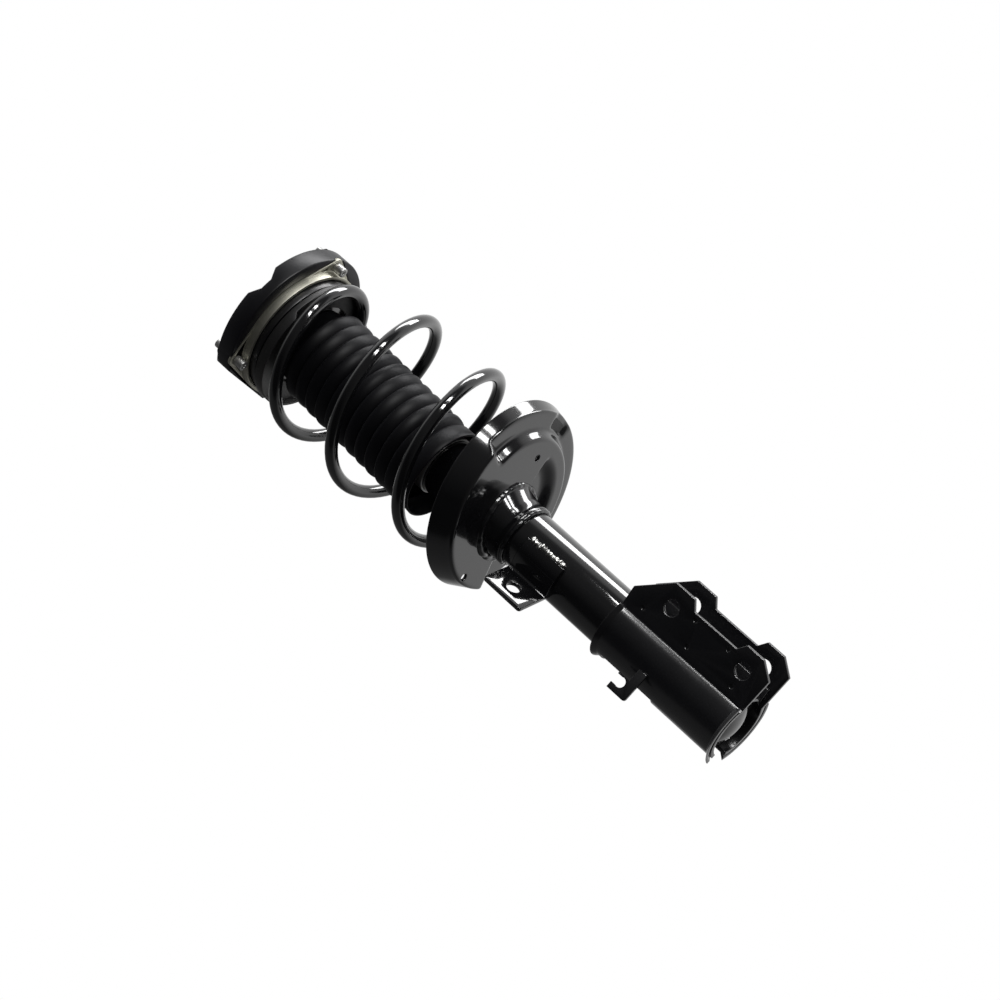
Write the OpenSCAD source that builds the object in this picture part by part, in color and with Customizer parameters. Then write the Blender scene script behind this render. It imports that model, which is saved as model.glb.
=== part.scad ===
/* [Damper tube] */
// Outside diameter of the reserve tube
tube_d = 54; // [46:0.5:60]
// Wall of the reserve tube
tube_wall = 3; // [2:0.5:4]
// Depth of the tube's top end below the mount plate's top face
tube_top_depth = 189; // [180:1:240]
// Distance from the tube's lower rim up to the lower knuckle bolt
tube_below_bolt = 10; // [4:1:16]
// Height of the dome that closes the tube's lower end
dome_h = 8; // [5:1:12]
// Inside diameter of the pressure tube
pressure_bore = 32; // [28:0.5:36]
// Wall of the pressure tube
pressure_wall = 1.5; // [1:0.25:2.5]
// Thickness of the cap that closes the tube's upper end
tube_cap_t = 3; // [2:0.5:5]

/* [Knuckle bracket] */
// Depth of the lower knuckle bolt below the mount plate's top face
lower_bolt_depth = 531; // [500:1:600]
// Distance between the two knuckle bolts
bolt_pitch = 79.5; // [60:0.5:90]
// Distance of the knuckle bolts from the strut axis
bolt_offset = 48; // [44:0.5:56]
// Diameter of the holes for the knuckle bolts
bolt_hole_d = 14.5; // [10.5:0.5:16.5]
// Gap between the bracket's two ears
ear_gap = 34.8; // [30:0.2:40]
// Thickness of the bracket's sheet
bracket_t = 4; // [3:0.5:5]
// Distance from the lower bolt down to the bracket's lower edge
bracket_below_bolt = 19; // [15:1:24]
// Distance from the upper bolt up to the bracket's upper edge
bracket_above_bolt = 37.5; // [30:0.5:50]
// Distance of the ears' front edge from the bolts' centres
ear_edge = 19; // [14:0.5:22]
// Depth of the step between the two bolts in the ears' front edge
ear_step = 8.4; // [4:0.2:10]
// How far the upper lip stands out from the wrap
lip_out = 3.4; // [1:0.2:5]
// How far the lower lip stands out from the wrap
low_lip_out = 6; // [1:0.2:8]
// Height of the slot in the back of the lower lip
back_slot_h = 14; // [8:1:20]
// Diameter of the pilot dimples on the ears
dimple_d = 4; // [2:0.5:5]

/* [Hose hook] */
// Thickness of the hook
hook_t = 3; // [2:0.5:4]
// Radius of the hook's notch
notch_r = 4.6; // [3.5:0.1:5]
// Height of the hook's lower edge above the lower bolt
hook_above_bolt = 59.5; // [56:0.5:62]

/* [Link tab] */
// Length of the link tab's saddle along the tube
link_w = 43; // [34:1:50]
// Height of the saddle's middle above the lower bolt
link_above_bolt = 195; // [188:0.5:198]
// Thickness of the link tab's sheet
link_t = 4; // [3:0.5:5]
// Reach of the tab from the saddle's bend to its end
link_reach = 37; // [30:1:42]
// Diameter of the hole for the stabiliser link's stud
link_hole_d = 12.5; // [8.5:0.5:14.5]

/* [Lower spring seat] */
// Radius of the lower seat's rim
seat_r = 89; // [86:1:100]
// Radius of the seat's flat face
seat_face_r = 82.4; // [78:0.2:84]
// Thickness of the seat's sheet
seat_t = 3; // [2:0.5:4]
// Radius of the round between the seat's face and its wall
seat_round = 4; // [3.5:0.5:8]
// Depth of the underside of the seat's raised track, at the strut axis
seat_depth = 269; // [264:1:275]
// Distance from the raised track down to the seat's flat face
seat_drop = 9; // [6:0.5:12]
// Height of the seat's rim above the raised track
seat_h = 13.5; // [12:0.5:20]
// Radius at which the raised track starts
track_in_r = 66; // [62:0.5:68]
// Angle that the raised track runs round
track_angle = 165; // [120:5:175]
// Angle that the higher end of the track runs round
high_angle = 65; // [40:5:90]
// Height of that higher end above the track
high_h = 9; // [6:0.5:10]
// Radius at which the higher end starts
high_in_r = 47; // [44:0.5:60]
// Angle that the rubber pad runs round
pad_angle = 97; // [80:1:115]
// Tilt of the lower seat
seat_tilt = 11; // [0:0.5:12]
// Heading of the side that the seat's normal leans to
seat_heading = 165; // [90:5:270]
// Distance of the seat's middle from the strut axis
seat_offset = 14.4; // [0:0.2:16]
// Height of the collar's lower edge above the lower bolt
collar_above_bolt = 232; // [225:1:236]
// Wall of the collar
collar_wall = 3; // [2:0.5:4]
// Thickness of the rubber pad between the lower seat and the spring
lower_pad_t = 2.5; // [1.5:0.5:4]

/* [Coil spring] */
// Diameter of the spring's wire
wire_d = 11.5; // [10:0.25:12.5]
// Radius of the spring's middle turns, to the wire's centre
coil_r = 78.3; // [74:0.1:80]
// Radius of the spring's lower end
coil_low_r = 73; // [68:0.5:76]
// Radius of the drawn-in upper end
coil_top_r = 49; // [48:0.5:52]
// Number of turns
coil_turns = 3.333; // [3:0.1:4]
// Turns over which the lower end closes
close_low = 0.84; // [0.6:0.02:1]
// Turns over which the upper end closes
close_top = 0.2; // [0.2:0.05:0.6]
// Turns that lie flat under the upper seat
flat_top = 0.157; // [0:0.01:0.3]
// Turns over which the upper end draws in
taper_top = 1.12; // [0.8:0.02:1.3]
// Distance of the spring's axis from the strut axis at its lower end
coil_shift_low = 12.3; // [0:0.1:13]
// Distance of the spring's axis from the strut axis at its upper end
coil_shift_top = 3.5; // [0:0.1:5]

/* [Upper spring seat and bearing] */
// Outside radius of the upper spring isolator
isolator_r = 63; // [61:0.5:66]
// Thickness of the isolator under the seat
isolator_t = 2; // [1.5:0.5:4]
// How far the isolator's outer lip hangs below it
isolator_lip = 5.3; // [3:0.1:6]
// Thickness of the upper seat's sheet
upper_seat_t = 1.5; // [1:0.5:2]
// Radius of the ring on which the bearing's balls run
ball_track_r = 46; // [42:0.5:48]
// Diameter of a bearing ball
ball_d = 5.2; // [4:0.2:5.4]
// Number of bearing balls
ball_count = 28; // [16:1:32]
// Outside radius of the bearing's upper housing
housing_r = 60; // [56:0.5:60.5]
// Height of the bearing's upper housing
housing_h = 8; // [7:0.5:9]
// Gap between the upper housing and the lower race
race_gap = 1; // [0.8:0.1:1.4]

/* [Top mount] */
// Diameter of the circle through the three studs
stud_circle_d = 140; // [136:1:140]
// Diameter of the studs' thread
stud_d = 8; // [6:1:10]
// Height of the studs above the mount plate
stud_h = 23; // [20:1:30]
// Length of the studs' plain ends below the plate
stud_low = 10; // [6:1:12]
// Heading of the first stud
stud_heading = 1; // [-60:1:60]
// Thickness of the mount plate
plate_t = 3; // [2:0.5:4]
// Radius of the mount plate's round flange
flange_r = 64; // [63.5:0.5:68]
// Depth of the turned-down flange below the plate's top face
flange_h = 10.5; // [9:0.5:11]
// Radius of the mount plate's corners
corner_r = 7.5; // [6.5:0.5:10]
// Radius of the cover
cover_r = 76.5; // [76.5:0.5:80]
// Height of the cover's rim above the plate
cover_h = 15.5; // [14:0.5:20]
// Height of the cover's inner part above the plate
cover_floor_h = 10; // [8:0.5:12]
// Depth to which the cover's edge hangs beside the plate
cover_skirt = 2.5; // [1:0.5:3]
// Distance of the cover's flat side from the strut axis
cover_flat = 66; // [65.5:0.5:74]
// Radius of the opening in the cover above the rod's nut
cover_bore_r = 28; // [26:0.5:28.5]

/* [Rod and piston] */
// Diameter of the piston rod
rod_d = 22; // [18:0.5:24]
// Diameter of the rod's threaded end
thread_d = 14; // [10:1:16]
// Depth of the rod's shoulder below the plate's top face
shoulder_depth = 16; // [14:0.5:18]
// Height of the rod's tip above the plate's top face
rod_tip = 26; // [24:1:30]
// Length of the piston
piston_len = 20; // [14:1:30]
// Distance from the rebound stop down to the piston
piston_drop = 15; // [10:1:40]

/* [Dust boot] */
// Radius of the boot's rib crests
boot_r = 45; // [43:0.5:46]
// Depth of the boot's folds
fold_depth = 4.5; // [3:0.5:5]
// Number of ribs
rib_count = 11; // [8:1:13]
// Wall of the boot
boot_wall = 1.6; // [1:0.1:2]
// Length of the boot's smooth lower cuff
cuff_len = 18; // [12:1:24]
// How far the boot's lower end reaches over the tube
boot_overlap = 17; // [10:1:24]
// How far the boot's lower end hangs off the strut axis
boot_drift = 7; // [0:0.5:7]

/* [Bump stop] */
// Length of the bump stop
bump_len = 44; // [30:1:50]
// Radius of the bump stop
bump_r = 25; // [22:0.5:26]

/* [Fits] */
// Radial clearance of surfaces that slide on each other
run_fit = 0.04; // [0.02:0.01:0.1]
// Radial clearance of round pieces that are set in one another
set_fit = 0.1; // [0.05:0.01:0.2]

/* [Hidden] */
$fn = 96;
eps = 0.01;

// heading of the strut's lean: the spring, its seat, the hook and the link tab are turned by it
lean = 21;

tube_r = tube_d / 2;
tube_in_r = tube_r - tube_wall;
rod_r = rod_d / 2;
thread_r = thread_d / 2;
z_tube_top = -tube_top_depth;
z_cap_top = z_tube_top + tube_cap_t;
z_low_bolt = -lower_bolt_depth;
z_up_bolt = z_low_bolt + bolt_pitch;
z_tube_low = z_low_bolt - tube_below_bolt;

// bracket
wrap_in_r = tube_r + set_fit;
wrap_r = wrap_in_r + bracket_t;
z_br_low = z_low_bolt - bracket_below_bolt;
z_br_top = z_up_bolt + bracket_above_bolt;
ear_in = ear_gap / 2;
ear_out = ear_in + bracket_t;
ear_x = bolt_offset + ear_edge;
lip_h = 4.5;

// bearing stack, from the plate down
flange_lap = 1.5;
z_housing_top = -flange_h + flange_lap;
z_housing_low = z_housing_top - housing_h;
z_race_top = z_housing_low - race_gap;
race_h = 3;
z_seat_top = z_race_top - race_h;
z_iso_top = z_seat_top - upper_seat_t;
z_iso_low = z_iso_top - isolator_t;
z_ball = (z_housing_low + z_race_top) / 2;
ball_r = ball_d / 2;
track_r = ball_r + set_fit;
housing_in_r = 28;
cup_r = 35;
cup_h = 12;
race_in_r = cup_r + 1;
race_edge = 5;
z_cup_floor = z_iso_top - cup_h + upper_seat_t;
z_cup_low = z_cup_floor - upper_seat_t;
rod_gap = 0.6;
guide_hole_r = rod_r + rod_gap;
seat_edge = 2;

// lower seat, measured in its own tilted frame
seat_axis = [-sin(seat_heading), cos(seat_heading), 0];
seat_slope = tan(seat_tilt);
function seat_rise(p) = -seat_slope * (p[0] * cos(seat_heading) + p[1] * sin(seat_heading));
function lean_at(r, a) = [r * cos(lean + a), r * sin(lean + a)];
function polar(r, a) = [r * cos(a), r * sin(a)];
seat_mid = lean_at(seat_offset, 0);
z_seat_low = -seat_depth;
z_seat_mid = z_seat_low + seat_rise(seat_mid);

// spring: its lower end is laid on the lower pad and its upper end under the isolator
wire_r = wire_d / 2;
seat_touch = 0.3;
rings_per_turn = 24;
wire_sides = 6;
coil_rings = ceil(coil_turns * rings_per_turn);
low_heading = -70;
open_low = 1.5;
side_low = 2.5;
side_top = -3;
function ease(x) = let (t = min(1, max(0, x))) t * t * (3 - 2 * t);
function coil_angle(s) = low_heading + 360 * s;
rise_turns = coil_turns - flat_top;
function climb(s) = s < close_low ? s * s / (2 * close_low)
    : s < rise_turns - close_top ? s - close_low / 2
    : rise_turns - close_low / 2 - close_top / 2 - pow(max(0, rise_turns - s), 2) / (2 * close_top);
function coil_radius(s) = coil_low_r + (coil_r - coil_low_r) * ease(s / open_low)
    - (coil_r - coil_top_r) * pow(max(0, 1 - (coil_turns - s) / taper_top), 2);
function coil_xy(s) = let (f = s / coil_turns)
    lean_at(coil_shift_low * (1 - f) + coil_shift_top * f, 0)
    + lean_at(side_low * (1 - f) + side_top * f, 90)
    + lean_at(coil_radius(s), coil_angle(s));
pad_rise = seat_t / cos(seat_tilt) + lower_pad_t / cos(seat_tilt);
low_turn = 0.4;
z_coil_top = z_iso_low - wire_r - seat_touch;
function rest_height(s) = z_seat_low + pad_rise + wire_r / cos(seat_tilt) + seat_touch
    + seat_rise(coil_xy(s));
function climbed(s) = climb(s) / climb(coil_turns);
z_coil_low = max([for (s = [0 : 0.02 : low_turn])
    (rest_height(s) - climbed(s) * z_coil_top) / (1 - climbed(s))]);
coil_pitch = (z_coil_top - z_coil_low) / climb(coil_turns);
function coil_at(s) = let (p = coil_xy(s)) [p[0], p[1], z_coil_low + climb(s) * coil_pitch];

// boot
z_fold_top = z_cup_low - 4;
z_cuff_low = z_tube_top - boot_overlap;
z_fold_low = z_cuff_low + cuff_len;
fold_pitch = (z_fold_top - z_fold_low) / rib_count;
boot_lean = atan(boot_drift / (z_fold_top - z_cuff_low));

// damper's inner stack
z_guide_top = z_tube_top - 3;
guide_h = 17;
spigot_h = 6;
z_guide_low = z_guide_top - guide_h;
z_stop_top = z_guide_low - spigot_h - 0.5;
stop_h = 8;
disc_h = 3;
z_disc_top = z_stop_top - stop_h - piston_drop;
z_piston_top = z_disc_top - disc_h;
z_piston_low = z_piston_top - piston_len;
nut_h = 8;
spigot_r = 6;
z_valve_low = z_tube_low + 3;
valve_h = 9;
valve_lap = 4;
z_valve_top = z_valve_low + valve_h;

// square section ring of revolution between two radii and two heights
module ring(r_in, r_out, z_low, z_high) {
    rotate_extrude()
        translate([r_in, z_low])
            square([r_out - r_in, z_high - z_low]);
}

// ring sector between two radii over an arc of headings
module sector(r_in, r_out, z_low, z_high, a_from, a_to) {
    rotate([0, 0, a_from])
        rotate_extrude(angle = a_to - a_from)
            translate([r_in, z_low])
                square([r_out - r_in, z_high - z_low]);
}

module in_seat_frame() {
    translate([seat_mid[0], seat_mid[1], z_seat_mid])
        rotate(a = seat_tilt, v = seat_axis)
            children();
}

// ---- top mount ----

function stud_angle(i) = stud_heading + 120 * i;
stud_r = stud_circle_d / 2;
// the stud's shank, pressed into the plate, and the well round the stud in the cover
shank_d = stud_d + 0.4;
well_fit = 1.2;

module at_studs() {
    for (i = [0 : 2])
        rotate([0, 0, stud_angle(i)])
            translate([stud_r, 0, 0])
                children();
}

// round outline with three corners that run into it along straight flanks, whose ends lie a
// little inside both rounds so that they cross them cleanly
module plate_outline(grow) {
    big_bite = 0.2;
    corner_bite = 0.05;
    r = corner_r + grow;
    big = flange_r + grow;
    beta = acos((flange_r - corner_r) / stud_r);
    circle(big);
    for (i = [0 : 2]) {
        a = stud_angle(i);
        p = polar(stud_r, a);
        translate(p)
            circle(r);
        polygon([
            [0, 0], polar(big - big_bite, a - beta), p + polar(r - corner_bite, a - beta),
            p, p + polar(r - corner_bite, a + beta), polar(big - big_bite, a + beta)
        ]);
    }
}

// small triangular opening between the flange and a corner's flank, on one side of the corner at heading a
module window_hole(a, side) {
    near = 8;
    far = 17;
    r_low = flange_r + 1;
    r_high = r_low + 4;
    a_near = a + near * side;
    translate([0, 0, -plate_t - 1])
        linear_extrude(plate_t + 2)
            polygon([polar(r_low, a_near), polar(r_low, a + far * side), polar(r_high, a_near)]);
}

module mount_plate() {
    color("gainsboro")
    difference() {
        union() {
            translate([0, 0, -plate_t])
                linear_extrude(plate_t)
                    plate_outline(0);
            ring(flange_r - plate_t, flange_r, -flange_h, -plate_t + eps);
        }
        translate([0, 0, -plate_t - 1])
            cylinder(r = mount_hole_r, h = plate_t + 2);
        at_studs()
            translate([0, 0, -plate_t - 1])
                cylinder(d = shank_d + 2 * set_fit, h = plate_t + 2);
        for (i = [0 : 2], side = [-1, 1])
            window_hole(stud_angle(i), side);
    }
}

mount_hole_r = 38;
rubber_low_r = 46;
rubber_top_r = 44;
rubber_top_h = 6;

// outline of the cover: a round cut off along one side
module cover_outline(inset) {
    intersection() {
        circle(cover_r - inset);
        rotate([0, 0, lean])
            translate([inset - cover_flat, -2 * cover_r])
                square(4 * cover_r);
    }
}

module cover_notch() {
    low_w = 11.5;
    top_w = 36;
    depth = 6.6;
    length = 20;
    translate([cover_r - length + 4, 0, cover_h])
        rotate([90, 0, 90])
            linear_extrude(length)
                polygon([[-top_w / 2, 1], [-low_w / 2, -depth], [low_w / 2, -depth], [top_w / 2, 1]]);
}

module mount_cover() {
    rim_t = 5;
    hub_t = 6;
    hub_h = cover_floor_h + 3;
    plate_gap = 0.3;
    color("dimgray")
    difference() {
        union() {
            linear_extrude(cover_floor_h)
                cover_outline(0);
            linear_extrude(cover_h)
                difference() {
                    cover_outline(0);
                    cover_outline(rim_t);
                }
            cylinder(r = cover_bore_r + hub_t, h = hub_h);
            translate([0, 0, -cover_skirt])
                linear_extrude(cover_skirt + eps)
                    difference() {
                        cover_outline(0);
                        plate_outline(plate_gap);
                    }
        }
        translate([0, 0, -1])
            cylinder(r = cover_bore_r, h = cover_h + 2);
        translate([0, 0, -1])
            cylinder(r = rubber_top_r + set_fit, h = rubber_top_h + set_fit + 1);
        at_studs()
            translate([0, 0, -1])
                cylinder(d = stud_d + 2 * well_fit, h = cover_h + 2);
        for (i = [0 : 2])
            rotate([0, 0, stud_angle(i) + 60])
                cover_notch();
    }
}

module mount_studs() {
    dimple_r = 1.8;
    dimple_depth = 2;
    tip = 1;
    head_d = stud_d + 1;
    z_low = -plate_t - stud_low;
    color("silver")
    at_studs()
        difference() {
            union() {
                translate([0, 0, -eps])
                    cylinder(d = stud_d, h = stud_h - tip + eps);
                translate([0, 0, -plate_t - eps])
                    cylinder(d = shank_d, h = plate_t + eps);
                translate([0, 0, stud_h - tip])
                    cylinder(d1 = stud_d, d2 = stud_d - 2 * tip, h = tip);
                translate([0, 0, z_low])
                    cylinder(d = head_d, h = stud_low);
            }
            translate([0, 0, z_low - 1])
                cylinder(r = dimple_r, h = dimple_depth + 1);
        }
}

core_r = 20;

module mount_rubber() {
    inner = core_r + run_fit / 2;
    color("black")
    union() {
        ring(inner, rubber_low_r, z_housing_top, -plate_t);
        ring(inner, mount_hole_r - set_fit, -plate_t - eps, eps);
        ring(inner, rubber_top_r, 0, rubber_top_h);
    }
}

core_top = 8;

module mount_core() {
    color("darkgray")
    difference() {
        translate([0, 0, -shoulder_depth])
            cylinder(r = core_r, h = shoulder_depth + core_top);
        translate([0, 0, -shoulder_depth - 1])
            cylinder(r = thread_r + set_fit, h = shoulder_depth + core_top + 2);
    }
}

washer_t = 3;
washer_r = 24;

module rod_washer() {
    color("gray")
        ring(thread_r + set_fit, washer_r, core_top, core_top + washer_t);
}

rod_nut_af = 22;
rod_nut_h = 11;

module rod_nut() {
    color("silver")
    translate([0, 0, core_top + washer_t])
        difference() {
            cylinder(d = rod_nut_af / cos(30), h = rod_nut_h, $fn = 6);
            translate([0, 0, -1])
                cylinder(r = thread_r + set_fit, h = rod_nut_h + 2);
        }
}

module bearing_housing() {
    color("dimgray")
    difference() {
        ring(housing_in_r, housing_r, z_housing_low, z_housing_top);
        rotate_extrude()
            translate([ball_track_r, z_ball])
                circle(track_r, $fn = 48);
    }
}

// ---- rod and piston ----

module piston_rod() {
    z_spigot = z_piston_low - disc_h - nut_h - 2;
    tip = 1;
    color("silver")
    union() {
        translate([0, 0, z_disc_top])
            cylinder(r = rod_r, h = -shoulder_depth - z_disc_top);
        translate([0, 0, -shoulder_depth - eps])
            cylinder(r = thread_r, h = shoulder_depth + rod_tip - tip);
        translate([0, 0, rod_tip - tip - 2 * eps])
            cylinder(r1 = thread_r, r2 = thread_r - tip, h = tip);
        translate([0, 0, z_spigot])
            cylinder(r = spigot_r, h = z_disc_top - z_spigot + eps);
    }
}

module rebound_stop() {
    color("gray")
        ring(rod_r + run_fit, pressure_bore / 2 - rod_gap, z_stop_top - stop_h, z_stop_top);
}

sleeve_t = 0.8;

module valve_discs() {
    disc_r = spigot_r + 6;
    color("slategray")
    union() {
        ring(spigot_r + set_fit, disc_r, z_piston_top, z_disc_top);
        ring(spigot_r + set_fit, spigot_r + sleeve_t, z_piston_low - eps, z_piston_top + eps);
        ring(spigot_r + set_fit, disc_r, z_piston_low - disc_h, z_piston_low);
    }
}

band_t = 1.6;
band_edge = 3;

module piston() {
    color("silver")
    difference() {
        ring(spigot_r + sleeve_t + set_fit, pressure_bore / 2 - rod_gap, z_piston_low, z_piston_top);
        ring(pressure_bore / 2 - band_t - run_fit - set_fit, pressure_bore,
            z_piston_low + band_edge, z_piston_top - band_edge);
    }
}

module piston_band() {
    color("black")
        ring(pressure_bore / 2 - band_t, pressure_bore / 2 - run_fit,
            z_piston_low + band_edge, z_piston_top - band_edge);
}

module piston_nut() {
    color("silver")
    translate([0, 0, z_piston_low - disc_h - nut_h])
        difference() {
            cylinder(r = spigot_r + 4, h = nut_h, $fn = 6);
            translate([0, 0, -1])
                cylinder(r = spigot_r + set_fit, h = nut_h + 2);
        }
}

// ---- bearing and upper seat ----

module bearing_balls() {
    color("silver")
    for (i = [0 : ball_count - 1])
        rotate([0, 0, 360 * i / ball_count])
            translate([ball_track_r, 0, z_ball])
                sphere(r = ball_r, $fn = 32);
}

module bearing_cage() {
    cage_t = race_gap * 0.6;
    cage_half = 6;
    color("sienna")
    difference() {
        ring(ball_track_r - cage_half, ball_track_r + cage_half, z_ball - cage_t / 2, z_ball + cage_t / 2);
        for (i = [0 : ball_count - 1])
            rotate([0, 0, 360 * i / ball_count])
                translate([ball_track_r, 0, z_ball - 1])
                    cylinder(r = track_r, h = 2);
    }
}

module bearing_race() {
    color("gray")
    difference() {
        ring(race_in_r, housing_r - race_edge, z_seat_top, z_race_top);
        rotate_extrude()
            translate([ball_track_r, z_ball])
                circle(track_r, $fn = 48);
    }
}

module upper_spring_seat() {
    color("dimgray")
    rotate_extrude()
        polygon([
            [cup_r - upper_seat_t, z_seat_top], [isolator_r - seat_edge, z_seat_top],
            [isolator_r - seat_edge, z_iso_top], [cup_r, z_iso_top],
            [cup_r, z_cup_low], [guide_hole_r, z_cup_low],
            [guide_hole_r, z_cup_floor], [cup_r - upper_seat_t, z_cup_floor]
        ]);
}

module upper_isolator() {
    edge = seat_edge - set_fit;
    edge_rise = 1;
    pad_in_r = cup_r + 6;
    lip_t = 2;
    lip_from = lean + 40;
    lip_to = lean + 280;
    color("black")
    union() {
        ring(pad_in_r, isolator_r, z_iso_low, z_iso_top);
        ring(isolator_r - edge, isolator_r, z_iso_top - eps, z_seat_top + edge_rise);
        sector(isolator_r - lip_t, isolator_r, z_iso_low - isolator_lip, z_iso_low + eps, lip_from, lip_to);
    }
}

module bump_stop() {
    waist = 4;
    z_low = z_cup_low - bump_len;
    lobe = bump_len / 3;
    color("khaki")
    difference() {
        translate([0, 0, z_low])
            cylinder(r = bump_r, h = bump_len);
        for (i = [1, 2])
            rotate_extrude()
                translate([bump_r + waist, z_low + i * lobe])
                    circle(2 * waist, $fn = 48);
        translate([0, 0, z_low - 1])
            cylinder(r = guide_hole_r, h = bump_len + 2);
    }
}

// ---- dust boot: true cones, with its bore running through the ribs ----

valley_r = boot_r - fold_depth;
neck_r = valley_r - 3;
neck_h = 2;
function fold_points(off) = [for (i = [0 : rib_count - 1], k = [0 : 3])
    let (z = z_fold_top - (i + [0.12, 0.38, 0.62, 0.88][k]) * fold_pitch)
        [((k == 1 || k == 2) ? boot_r : valley_r) - off, z]];
function cuff_points(off) = [
    [valley_r + cuff_step - off, z_fold_low - cuff_drop],
    [boot_r - cuff_in - off, z_cuff_low]
];
cuff_step = 1.5;
cuff_drop = 2;
cuff_in = 1;

module boot_folds() {
    z_neck = z_fold_top + neck_h;
    outer = concat([[neck_r, z_neck]], fold_points(0), cuff_points(0));
    inner = concat([[neck_r - boot_wall, z_neck]], fold_points(boot_wall), cuff_points(boot_wall));
    last = len(inner) - 1;
    rotate_extrude()
        polygon(concat(outer, [for (i = [last : -1 : 0]) inner[i]]));
}

module dust_boot() {
    collar_r = cup_r + 2 * set_fit;
    z_collar_end = z_cup_low - neck_h;
    lap = 0.6;
    color("#202024")
    union() {
        ring(collar_r, collar_r + boot_wall, z_collar_end, z_iso_low + seat_touch);
        rotate_extrude()
            polygon([
                [collar_r, z_collar_end + eps], [collar_r + boot_wall, z_collar_end + eps],
                [neck_r + lap, z_fold_top + 1], [neck_r - boot_wall - lap, z_fold_top + 1]
            ]);
        translate([0, 0, z_fold_top])
            rotate([0, 0, lean])
                rotate([0, boot_lean, 0])
                    translate([0, 0, -z_fold_top])
                        boot_folds();
    }
}

// ---- coil spring: one unbroken tube ----

function unit(v) = v / norm(v);
function coil_tangent(s) = let (d = 0.004) unit(coil_at(min(coil_turns, s + d)) - coil_at(max(0, s - d)));
function wire_ring(s) = let (
        c = coil_at(s), t = coil_tangent(s), out = unit(cross([0, 0, 1], t)), up = cross(t, out))
    [for (k = [0 : wire_sides - 1])
        let (a = 360 * (k + 0.5) / wire_sides)
            c + wire_r * (cos(a) * out + sin(a) * up)];

coil_steps = [for (i = [0 : coil_rings]) coil_turns * i / coil_rings];
coil_centres = [for (s = coil_steps) coil_at(s)];
half_turn = rings_per_turn / 2;
coil_gap = min([for (i = [0 : coil_rings - half_turn], j = [i + half_turn : coil_rings])
    norm(coil_centres[i] - coil_centres[j])]) - wire_d;
echo(least_gap_between_turns = coil_gap);

module coil_spring() {
    points = [for (s = coil_steps) each wire_ring(s)];
    n = wire_sides;
    low_end = [for (k = [1 : n - 2]) [0, k, k + 1]];
    base = coil_rings * n;
    top_end = [for (k = [1 : n - 2]) [base, base + k + 1, base + k]];
    walls = [for (i = [0 : coil_rings - 1], k = [0 : n - 1])
        let (a = i * n + k, b = i * n + (k + 1) % n)
            each [[a, a + n, b], [b, a + n, b + n]]];
    color("#303034")
        polyhedron(points, concat(low_end, walls, top_end));
}

// ---- damper tube ----

module reserve_tube() {
    color("#38383c")
        ring(tube_in_r, tube_r, z_tube_low, z_tube_top);
}

module tube_dome() {
    r = tube_in_r - set_fit;
    ball = (r * r + dome_h * dome_h) / (2 * dome_h);
    wall = 3;
    spigot = 3;
    color("gray")
    difference() {
        union() {
            intersection() {
                translate([0, 0, z_tube_low - dome_h + ball])
                    sphere(r = ball, $fn = 128);
                translate([0, 0, z_tube_low - dome_h - 1])
                    cylinder(r = r, h = dome_h + 1 + eps);
            }
            translate([0, 0, z_tube_low])
                cylinder(r = r, h = spigot);
        }
        translate([0, 0, z_tube_low - dome_h + ball + wall])
            sphere(r = ball, $fn = 128);
    }
}

module tube_cap() {
    skirt_h = 12;
    skirt_t = 2;
    color("gray")
    union() {
        ring(guide_hole_r, tube_r + set_fit + skirt_t, z_tube_top, z_cap_top);
        ring(tube_r + set_fit, tube_r + set_fit + skirt_t, z_tube_top - skirt_h, z_tube_top + eps);
    }
}

bushing_t = 1.5;
bushing_r = rod_r + run_fit + bushing_t;

module rod_guide() {
    color("darkgray")
    union() {
        ring(bushing_r + set_fit, tube_in_r - set_fit, z_guide_low, z_guide_top);
        ring(bushing_r + set_fit, pressure_bore / 2 - set_fit, z_guide_low - spigot_h, z_guide_low + eps);
    }
}

module rod_bushing() {
    color("peru")
        ring(rod_r + run_fit, bushing_r, z_guide_low - spigot_h + 1, z_guide_top);
}

module rod_seal() {
    color("black")
        ring(rod_r + run_fit, tube_in_r - set_fit, z_guide_top, z_tube_top);
}

module pressure_tube() {
    color("silver")
        ring(pressure_bore / 2, pressure_bore / 2 + pressure_wall, z_valve_top - valve_lap, z_guide_low);
}

module base_valve() {
    top_r = pressure_bore / 2 - set_fit;
    low_r = pressure_bore / 2 + pressure_wall;
    port_r = 1.5;
    port_ring_r = top_r * 0.6;
    ports = 6;
    color("slategray")
    difference() {
        union() {
            translate([0, 0, z_valve_low])
                cylinder(r = low_r, h = valve_h - valve_lap);
            translate([0, 0, z_valve_low])
                cylinder(r = top_r, h = valve_h);
        }
        for (i = [0 : ports - 1])
            rotate([0, 0, 360 * i / ports])
                translate([port_ring_r, 0, z_valve_low - 1])
                    cylinder(r = port_r, h = valve_h + 2, $fn = 24);
    }
}

// ---- knuckle bracket ----

// outline of an ear seen from the side: two noses at the bolts with a step between them
module ear_side() {
    x_back = -wrap_r - 1;
    x_foot = 18;
    x_chin = bolt_offset + 7.5;
    x_brow = bolt_offset - 7;
    x_step = ear_x - ear_step;
    chin_h = 4;
    nose_h = 9;
    ramp_h = 6;
    polygon([
        [x_back, z_br_low], [x_foot, z_br_low], [x_chin, z_br_low - chin_h], [ear_x, z_low_bolt - nose_h],
        [ear_x, z_low_bolt + nose_h], [x_step, z_low_bolt + nose_h + ramp_h],
        [x_step, z_up_bolt - 2 * nose_h], [ear_x, z_up_bolt - 2 * nose_h + ramp_h],
        [ear_x, z_up_bolt + nose_h], [x_brow, z_br_top], [x_back, z_br_top]
    ]);
}

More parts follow.
